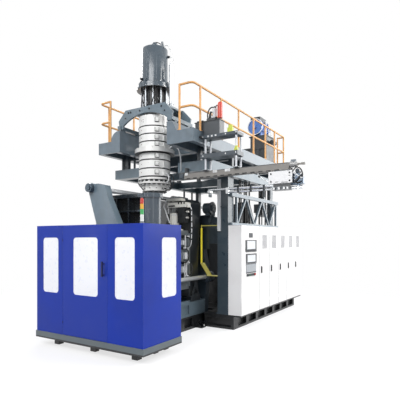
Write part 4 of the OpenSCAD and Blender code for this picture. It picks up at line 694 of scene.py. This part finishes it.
cage = Piece("cage_shade_and_cables", "black_plastic", slot="tool_steel")
for degrees in round_steps(SHADE_SLATS, 4.0):
    cage.box((0.2285, -0.024, CAGE_LOW - SLAT_GAP), (0.2325, 0.024, CAGE_HIGH + SLAT_GAP), degrees)
cage.use("rubber")
for degrees, tilt in ((-120.0, 6.0), (-95.0, -7.0), (-70.0, 8.0), (-42.0, -6.0), (30.0, 5.0), (150.0, -5.0)):
    cage.tube([polar(0.290, degrees, CAGE_LOW), polar(0.300, degrees + tilt, 4.66),
               polar(0.306, degrees + 2.0 * tilt, 4.78), polar(0.296, degrees + tilt, 4.88),
               polar(0.292, degrees, CAGE_HIGH)], 0.010, 8)
cage.done()

YOKE_FACE = 0.330
yoke = Piece("yoke_bolts", "dark_steel", slot="grey_paint")
for x in (-0.42, -0.36, -0.12, 0.12, 0.42):
    for y in (-YOKE_FACE, YOKE_FACE):
        yoke.bolt((x, y, 4.498), (0.0, y, 0.0), 0.015)
for x in (-0.50, 0.50):
    for y in (-YOKE_FACE, YOKE_FACE):
        yoke.bolt((x, y, 4.40), (0.0, y, 0.0), 0.012)
yoke.done()

# Extruder
cover = Piece("barrel_cover", "light_paint", slot="grey_paint", edge=0.004)
cover.prism([(0.46, 4.326), (0.46, 4.43), (0.52, 4.50), (1.30, 4.50), (1.36, 4.43), (1.36, 4.326)],
            "x", -0.15, 0.15)
cover.use("valve_paint").prism([(0.50, 4.50), (0.56, 4.64), (1.02, 4.64), (1.24, 4.50)], "x", -0.11, 0.13)
cover.use("light_steel")
for y in (0.60, 0.72, 0.84, 0.96):
    cover.box((0.13, y, 4.53), (0.134, y + 0.06, 4.60))
for y in (0.50, 0.78, 1.06, 1.30):
    cover.bolt((0.15, y, 4.36), RIGHT, 0.008)
cover.done()

# Motor: fan cowl's rim, hub and supply cables
MOTOR_X = 0.351
MOTOR_Z = 5.195
COWL_Y = 4.2395
COWL_BOLTS = 8
COWL_BOLT_CIRCLE = 0.200
HUB_Y = 4.2235
TERMINAL_FLOOR = 4.898

drive = Piece("motor_fittings", "motor_paint", slot="motor_blue")
drive.use("light_steel")
drive.lathe([(0.236, 0.0), (0.236, 0.012), (0.216, 0.014), (0.216, 0.0)], (MOTOR_X, COWL_Y, MOTOR_Z),
            FORWARD, 64, False)
drive.use("dark_steel")
for degrees in round_steps(COWL_BOLTS, 22.5):
    angle = math.radians(degrees)
    x = MOTOR_X + COWL_BOLT_CIRCLE * math.cos(angle)
    z = MOTOR_Z + COWL_BOLT_CIRCLE * math.sin(angle)
    drive.bolt((x, COWL_Y, z), FORWARD, 0.009)
drive.use("rust").rod((0.352, HUB_Y, 5.150), (0.352, 4.2215, 5.150), 0.030, sides=12)
drive.use("motor_paint")
drive.lathe([(0.050, 0.0), (0.045, 0.010), (0.020, 0.012)], (MOTOR_X, HUB_Y, MOTOR_Z), FORWARD)
drive.use("white_plastic")
for x, y, crest in ((0.60, 4.45, 5.36), (0.655, 4.52, 5.30), (0.70, 4.60, 5.12)):
    drive.tube([(x, y, TERMINAL_FLOOR), (x, y, crest - 0.08), (x - 0.02, y, crest),
                (x - 0.07, y, crest + 0.02), (0.52, y, crest - 0.02)], 0.014)
drive.done()

# Valve unit with its bottle, and the hanger posts' fittings
VALVE_TOP = 4.1385
BOTTLE_X = 1.41
BOTTLE_Y = 0.02
POST_FACE = -0.130

valve = Piece("valve_hoses", "rubber", slot="panel_dark")
valve.tube([(1.30, -0.02, VALVE_TOP), (1.285, -0.03, 4.25), (1.31, -0.01, 4.36), (1.36, 0.01, 4.40),
            (1.402, 0.018, 4.385)], 0.012)
valve.tube([(1.33, -0.03, VALVE_TOP), (1.325, -0.04, 4.21), (1.345, -0.02, 4.29),
            (1.372, 0.005, 4.30)], 0.010)
valve.tube([(1.425, 0.02, 4.385), (1.455, 0.02, 4.42), (1.49, 0.03, 4.415), (1.505, 0.04, 4.39)], 0.010)
valve.tube([(1.45, 0.0, 4.20), (1.478, -0.02, 4.19), (1.488, -0.03, 4.16), (1.486, -0.03, VALVE_TOP)], 0.009)
valve.lathe([(0.034, 0.0), (0.034, 0.022), (0.020, 0.030)], (BOTTLE_X, BOTTLE_Y, 4.3745), sides=20)
valve.use("light_steel")
for z in (4.18, 4.345):
    valve.collar(0.0402, 0.046, 0.008, (BOTTLE_X, BOTTLE_Y, z))
valve.use("lime_plastic")
valve.box((1.758, -0.128, 3.8505), (1.859, -0.07, 3.925)).box((1.775, -0.120, 3.925), (1.842, -0.08, 3.975))
valve.box((1.895, -0.128, 3.5055), (1.955, -0.072, 3.545)).box((1.905, -0.12, 3.545), (1.945, -0.08, 3.585))
valve.use("light_steel")
for x in (1.34, 1.42, 1.50):
    valve.box((x, -0.1335, 3.806), (x + 0.035, POST_FACE, 3.838))
for x in (1.24, 1.72, 1.93):
    for z in (3.465, 3.822):
        valve.bolt((x, POST_FACE, z), FORWARD, 0.009)
valve.use("black_plastic").box((1.205, -0.20, 3.7955), (1.235, -0.1305, 3.83))
valve.done()

# Take-out beam: clips along its groove, joint plates and the bellows at its end
JOINT_PLATE_FACE = -0.066

beam = Piece("beam_clips", "black_plastic", slot="grey_paint")
for step in range(13):
    x = 0.832 + 0.15 * step
    beam.box((x, -0.0612, 3.0815), (x + 0.080, -0.0445, 3.0975))
beam.use("light_steel")
for low, high in ((0.795, 0.86), (1.42, 1.51), (1.675, 1.78)):
    beam.box((low, JOINT_PLATE_FACE, 3.150), (high, -0.0605, 3.198))
    beam.bolt((0.5 * (low + high), JOINT_PLATE_FACE, 3.172), FORWARD, 0.010)
for step in range(7):
    beam.collar(0.0442, 0.056, 0.004, (2.90 + 0.019 * step, 0.0, 3.166), RIGHT)
beam.use("grey_plastic").box((2.905, -0.03, 3.2085), (2.99, 0.03, 3.245))
beam.done()

# Carriage: slots, connectors and a sensor rod on its plate
PLATE_FACE = -0.1338
SLOT_FACE = -0.1352
CONNECTOR_BACK = -0.1182
SENSOR_Y = -0.1265

plate = Piece("carriage_fittings", "dark_steel", "takeout_carriage", "cabinet_white")
for x in (2.595, 2.92):
    for z in (2.885, 3.015):
        plate.bolt((x, -0.134, z), FORWARD, 0.011)
# Black strips drawn for the plate's slots: painted shade in place of recesses
plate.use("black_plastic")
for (low_x, low_z), (high_x, high_z) in (((2.668, 2.869), (2.730, 2.878)), ((2.774, 2.858), (2.890, 2.867)),
                                         ((2.905, 2.96), (2.93, 2.972))):
    plate.box((low_x, SLOT_FACE, low_z), (high_x, PLATE_FACE, high_z))
plate.use("light_steel")
for x in (2.625, 2.715, 2.805, 2.865):
    plate.box((x, -0.130, 2.745), (x + 0.035, CONNECTOR_BACK, 2.786))
plate.use("black_plastic")
for x in (2.665, 2.76, 2.845):
    plate.box((x, -0.126, 2.752), (x + 0.016, CONNECTOR_BACK, 2.780))
plate.use("light_steel").rod((2.575, SENSOR_Y, 2.872), (2.375, SENSOR_Y, 2.990), 0.007, sides=10)
plate.use("black_plastic").rod((2.395, SENSOR_Y, 2.978), (2.360, SENSOR_Y, 2.999), 0.013, sides=12)
plate.done()

arm = Piece("arm_fittings", "white_plastic", "takeout_carriage", "chrome_bar")
arm.rod((2.960, -0.0822, 3.020), (3.120, -0.0822, 2.912), 0.012)
arm.use("panel").rod((2.995, -0.086, 2.866), (3.118, -0.086, 2.976), 0.016)
arm.use("rubber")
arm.tube([(2.93, -0.078, 2.99), (2.972, -0.088, 3.055), (3.035, -0.112, 3.095), (3.098, -0.100, 3.062),
          (3.122, -0.082, 2.99), (3.118, -0.078, 2.94)], 0.010)
arm.tube([(2.93, -0.079, 2.90), (2.965, -0.100, 2.86), (3.03, -0.104, 2.842), (3.10, -0.084, 2.862)], 0.009)
arm.use("light_steel")
for x in (2.985, 3.075):
    for z in (2.90, 2.955):
        arm.bolt((x, -0.070, z), FORWARD, 0.008)
arm.use("dark_steel")
for x in (1.90, 2.15, 2.40):
    arm.box((x, -0.026, 2.756), (x + 0.035, 0.026, 2.8635))
arm.done()

# Unit over the rear mould: fittings on its face, hoses, and a small cylinder beside the big one
UNIT_FACE = 0.3595
FITTING_FACE = 0.352
BOLT_FACE = 0.3600
CONDUIT_X = 0.640
CONDUIT_Y = 0.41
SMALL_X = 0.02
SMALL_Y = 0.46

top = Piece("mould_unit_fittings", "black_plastic", "rear_clamp", "white_parts")
top.rod((0.294, UNIT_FACE, 2.508), (0.294, 0.3480, 2.508), 0.020)
for x in (0.335, 0.405, 0.475):
    top.box((x, FITTING_FACE, 2.648), (x + 0.030, UNIT_FACE, 2.683))
top.box((0.09, FITTING_FACE, 2.60), (0.25, UNIT_FACE, 2.63))
top.use("rubber")
top.tube([(0.480, 0.43, 2.52), (0.545, 0.42, 2.53), (0.600, 0.42, 2.49), (0.625, 0.42, 2.40),
          (0.620, 0.42, 2.28), (0.560, 0.44, 2.16), (0.520, 0.45, 2.10)], 0.016)
top.tube([(0.480, 0.47, 2.38), (0.560, 0.46, 2.40), (0.650, 0.45, 2.34), (0.665, 0.45, 2.22),
          (0.60, 0.48, 2.12), (0.540, 0.50, 2.08)], 0.014)
top.use("white_plastic")
top.tube([(0.530, 0.42, 2.64), (0.585, 0.41, 2.62), (0.635, 0.41, 2.54), (CONDUIT_X, CONDUIT_Y, 2.40),
          (CONDUIT_X, CONDUIT_Y, 2.0), (0.620, 0.41, 1.80), (0.545, 0.43, 1.74), (0.425, 0.44, 1.74)], 0.010)
top.use("black_plastic")
for z in (1.90, 2.02, 2.14, 2.26, 2.38, 2.50):
    top.rod((CONDUIT_X, CONDUIT_Y, z), (CONDUIT_X, CONDUIT_Y, z + 0.030), 0.016, sides=6)
top.use("white_plastic")
top.tube([(0.105, 0.38, 2.26), (0.06, 0.36, 2.40), (0.02, 0.35, 2.52), (-0.03, 0.36, 2.62),
          (0.022, 0.38, 2.74)], 0.013)
top.use("light_steel")
for x in (0.07, 0.37, 0.50):
    top.bolt((x, BOLT_FACE, 2.605), FORWARD, 0.010)
for z in (2.17, 2.43):
    top.collar(0.0782, 0.086, 0.012, (0.204, 0.45, z), sides=32)
top.use("black_plastic").box((-0.02, 0.42, 2.1005), (0.052, 0.50, 2.30))
top.rod((SMALL_X, SMALL_Y, 2.30), (SMALL_X, SMALL_Y, 2.46), 0.020)
top.use("light_steel").rod((SMALL_X, SMALL_Y, 2.46), (SMALL_X, SMALL_Y, 2.58), 0.012)
top.done()

# Blocks, rods and lines on the rear mould's side: low edge, height, near and far edge, material
MOULD_SIDE = 0.4202
BLOCK_FACE = 0.472
BAR_X = 0.486
MOULD_BLOCKS = [(1.12, 0.07, 0.335, 0.545, "black_plastic"), (1.225, 0.12, 0.350, 0.470, "white_plastic"),
                (1.40, 0.05, 0.335, 0.545, "black_plastic"), (1.50, 0.14, 0.420, 0.540, "white_plastic"),
                (1.70, 0.06, 0.335, 0.520, "black_plastic"), (1.80, 0.09, 0.345, 0.455, "white_plastic"),
                (1.94, 0.06, 0.360, 0.545, "black_plastic")]

lines = Piece("mould_lines", "black_plastic", "rear_clamp", "mould_alloy")
for z, height, near, far, material in MOULD_BLOCKS:
    lines.use(material).box((MOULD_SIDE, near, z), (BLOCK_FACE, far, z + height))
lines.use("light_steel")
for y, low, high in ((0.385, 1.13, 1.45), (0.505, 1.38, 1.75), (0.405, 1.71, 2.00), (0.450, 1.15, 1.45)):
    lines.rod((BAR_X, y, low), (BAR_X, y, high), 0.0142, sides=12)
lines.use("white_plastic")
for y, z in ((0.44, 1.155), (0.50, 1.425), (0.37, 1.73), (0.48, 1.97)):
    lines.rod((BLOCK_FACE, y, z), (0.530, y, z), 0.020, sides=16)
lines.use("rubber")
for y, low, high in ((0.37, 1.425, 1.73), (0.51, 1.155, 1.425), (0.44, 1.73, 1.97)):
    lines.tube([(BLOCK_FACE, y, low), (0.560, y, low + 0.03), (0.580, y + 0.02, 0.5 * (low + high)),
                (0.560, y, high - 0.03), (BLOCK_FACE, y, high)], 0.013)
lines.done()

# Lines behind the trusses, with a cabinet on two legs and a box on the column's inner face
RING_FLOOR = 3.2598
PIPE_X = 1.115
LEG_X = 1.02
CABINET_LOW = 2.30
CABINET_HIGH = 2.72
PIPES = [(1.66, 0.018), (1.74, 0.012), (1.96, 0.020), (2.05, 0.014), (2.19, 0.018), (2.78, 0.020),
         (2.94, 0.014), (3.16, 0.018)]

rack = Piece("rear_lines", "rubber", slot="dark_paint")
for y, radius in PIPES:
    rack.rod((PIPE_X, y, 0.0), (PIPE_X, y, RING_FLOOR), radius, sides=12)
rack.use("deep_paint").box((0.96, 1.68, CABINET_LOW), (1.09, 2.20, CABINET_HIGH))
rack.use("black_plastic").box((1.09, 1.74, 2.36), (1.097, 2.14, 2.66))
rack.use("deep_paint")
for y in (1.76, 2.12):
    rack.rod((LEG_X, y, 0.0), (LEG_X, y, CABINET_LOW), 0.030)
rack.use("black_plastic").box((0.700, 1.030, 1.220), (0.9118, 1.240, 1.820))
rack.use("light_steel")
for y in (1.80, 1.92, 2.04):
    rack.rod((1.04, y, CABINET_HIGH), (1.04, y, RING_FLOOR), 0.010, sides=10)
rack.done()


# Floor, backdrop and lamps
WHITE = (1.0, 1.0, 1.0)
FLOOR_BOUNCE = (0.30, 0.30, 0.30)
FLOOR_SHOWN = (0.34, 0.34, 0.35)
FLOOR_GLOW = 0.70
FADE_START = 5.0
FADE_END = 9.0
SKY = (0.94, 0.96, 1.0)
SKY_STRENGTH = 0.42
AIM = Vector((0.3, 1.0, 2.8))

bpy.ops.mesh.primitive_plane_add(size=160.0, location=(0.0, 0.0, -0.001))
floor = bpy.context.object
floor.name = "floor"


def seen_by_camera(tree):
    """1 for camera, glossy and transmission rays, so that metal mirrors what the camera sees."""
    rays = tree.nodes.new("ShaderNodeLightPath")
    total = rays.outputs["Is Camera Ray"]
    for name in ("Is Glossy Ray", "Is Transmission Ray"):
        both = tree.nodes.new("ShaderNodeMath")
        both.operation = "MAXIMUM"
        tree.links.new(total, both.inputs[0])
        tree.links.new(rays.outputs[name], both.inputs[1])
        total = both.outputs["Value"]
    return total


def shaded(tree, kind, color, strength=None):
    """Output of a new shader of this kind and colour."""
    node = tree.nodes.new(kind)
    node.inputs["Color"].default_value = color + (1.0,)
    if strength is not None:
        node.inputs["Strength"].default_value = strength
    return node.outputs[0]


def mixed(tree, factor, first, second):
    node = tree.nodes.new("ShaderNodeMixShader")
    tree.links.new(factor, node.inputs["Fac"])
    tree.links.new(first, node.inputs[1])
    tree.links.new(second, node.inputs[2])
    return node.outputs["Shader"]


# The camera sees a floor that fades to pure white, and the machine gets less light back from it
floor_mat = bpy.data.materials.new("floor")
floor_mat.use_nodes = True
tree = floor_mat.node_tree
tree.nodes.remove(tree.nodes["Principled BSDF"])
plus = tree.nodes.new("ShaderNodeAddShader")
tree.links.new(shaded(tree, "ShaderNodeBsdfDiffuse", FLOOR_SHOWN), plus.inputs[0])
tree.links.new(shaded(tree, "ShaderNodeEmission", WHITE, FLOOR_GLOW), plus.inputs[1])
where = tree.nodes.new("ShaderNodeTexCoord")
reach = tree.nodes.new("ShaderNodeVectorMath")
reach.operation = "LENGTH"
tree.links.new(where.outputs["Object"], reach.inputs[0])
fade = tree.nodes.new("ShaderNodeMapRange")
fade.inputs["From Min"].default_value = FADE_START
fade.inputs["From Max"].default_value = FADE_END
tree.links.new(reach.outputs["Value"], fade.inputs["Value"])
far_glow = shaded(tree, "ShaderNodeEmission", WHITE, 1.0)
faded = mixed(tree, fade.outputs["Result"], plus.outputs["Shader"], far_glow)
bounce = shaded(tree, "ShaderNodeBsdfDiffuse", FLOOR_BOUNCE)
surface = mixed(tree, seen_by_camera(tree), bounce, faded)
tree.links.new(surface, tree.nodes["Material Output"].inputs["Surface"])
floor.data.materials.append(floor_mat)

world = bpy.data.worlds.new("world")
scene.world = world
world.use_nodes = True
tree = world.node_tree
back = tree.nodes["Background"]
back.inputs["Color"].default_value = SKY + (1.0,)
back.inputs["Strength"].default_value = SKY_STRENGTH
backdrop = shaded(tree, "ShaderNodeBackground", WHITE, 1.0)
surface = mixed(tree, seen_by_camera(tree), back.outputs["Background"], backdrop)
tree.links.new(surface, tree.nodes["World Output"].inputs["Surface"])


def lamp(name, azimuth, elevation, distance, size, power, color=WHITE):
    """Rectangular lamp on a sphere round the machine, turned towards it."""
    data = bpy.data.lights.new(name, "AREA")
    data.shape = "RECTANGLE"
    data.size = size[0]
    data.size_y = size[1]
    data.energy = power
    data.color = color
    light = bpy.data.objects.new(name, data)
    scene.collection.objects.link(light)
    turn = math.radians(azimuth)
    rise = math.radians(elevation)
    flat = math.cos(rise) * distance
    light.location = AIM + Vector((flat * math.cos(turn), flat * math.sin(turn), math.sin(rise) * distance))
    light.rotation_euler = (AIM - light.location).to_track_quat("-Z", "Y").to_euler()


lamp("key", 20.0, 30.0, 15.0, (8.0, 6.0), 1600.0, (1.0, 0.99, 0.97))
lamp("sheen", 56.0, 14.0, 14.0, (8.0, 8.0), 560.0)
lamp("front", -84.0, 32.0, 14.0, (8.0, 5.0), 950.0)
lamp("strip_left", -128.0, 18.0, 12.0, (0.30, 14.0), 80.0)
lamp("strip_front", -96.0, 18.0, 12.0, (0.25, 14.0), 80.0)
lamp("strip_right", -42.0, 18.0, 12.0, (0.25, 14.0), 90.0)
lamp("back", 150.0, 35.0, 14.0, (6.0, 5.0), 700.0)

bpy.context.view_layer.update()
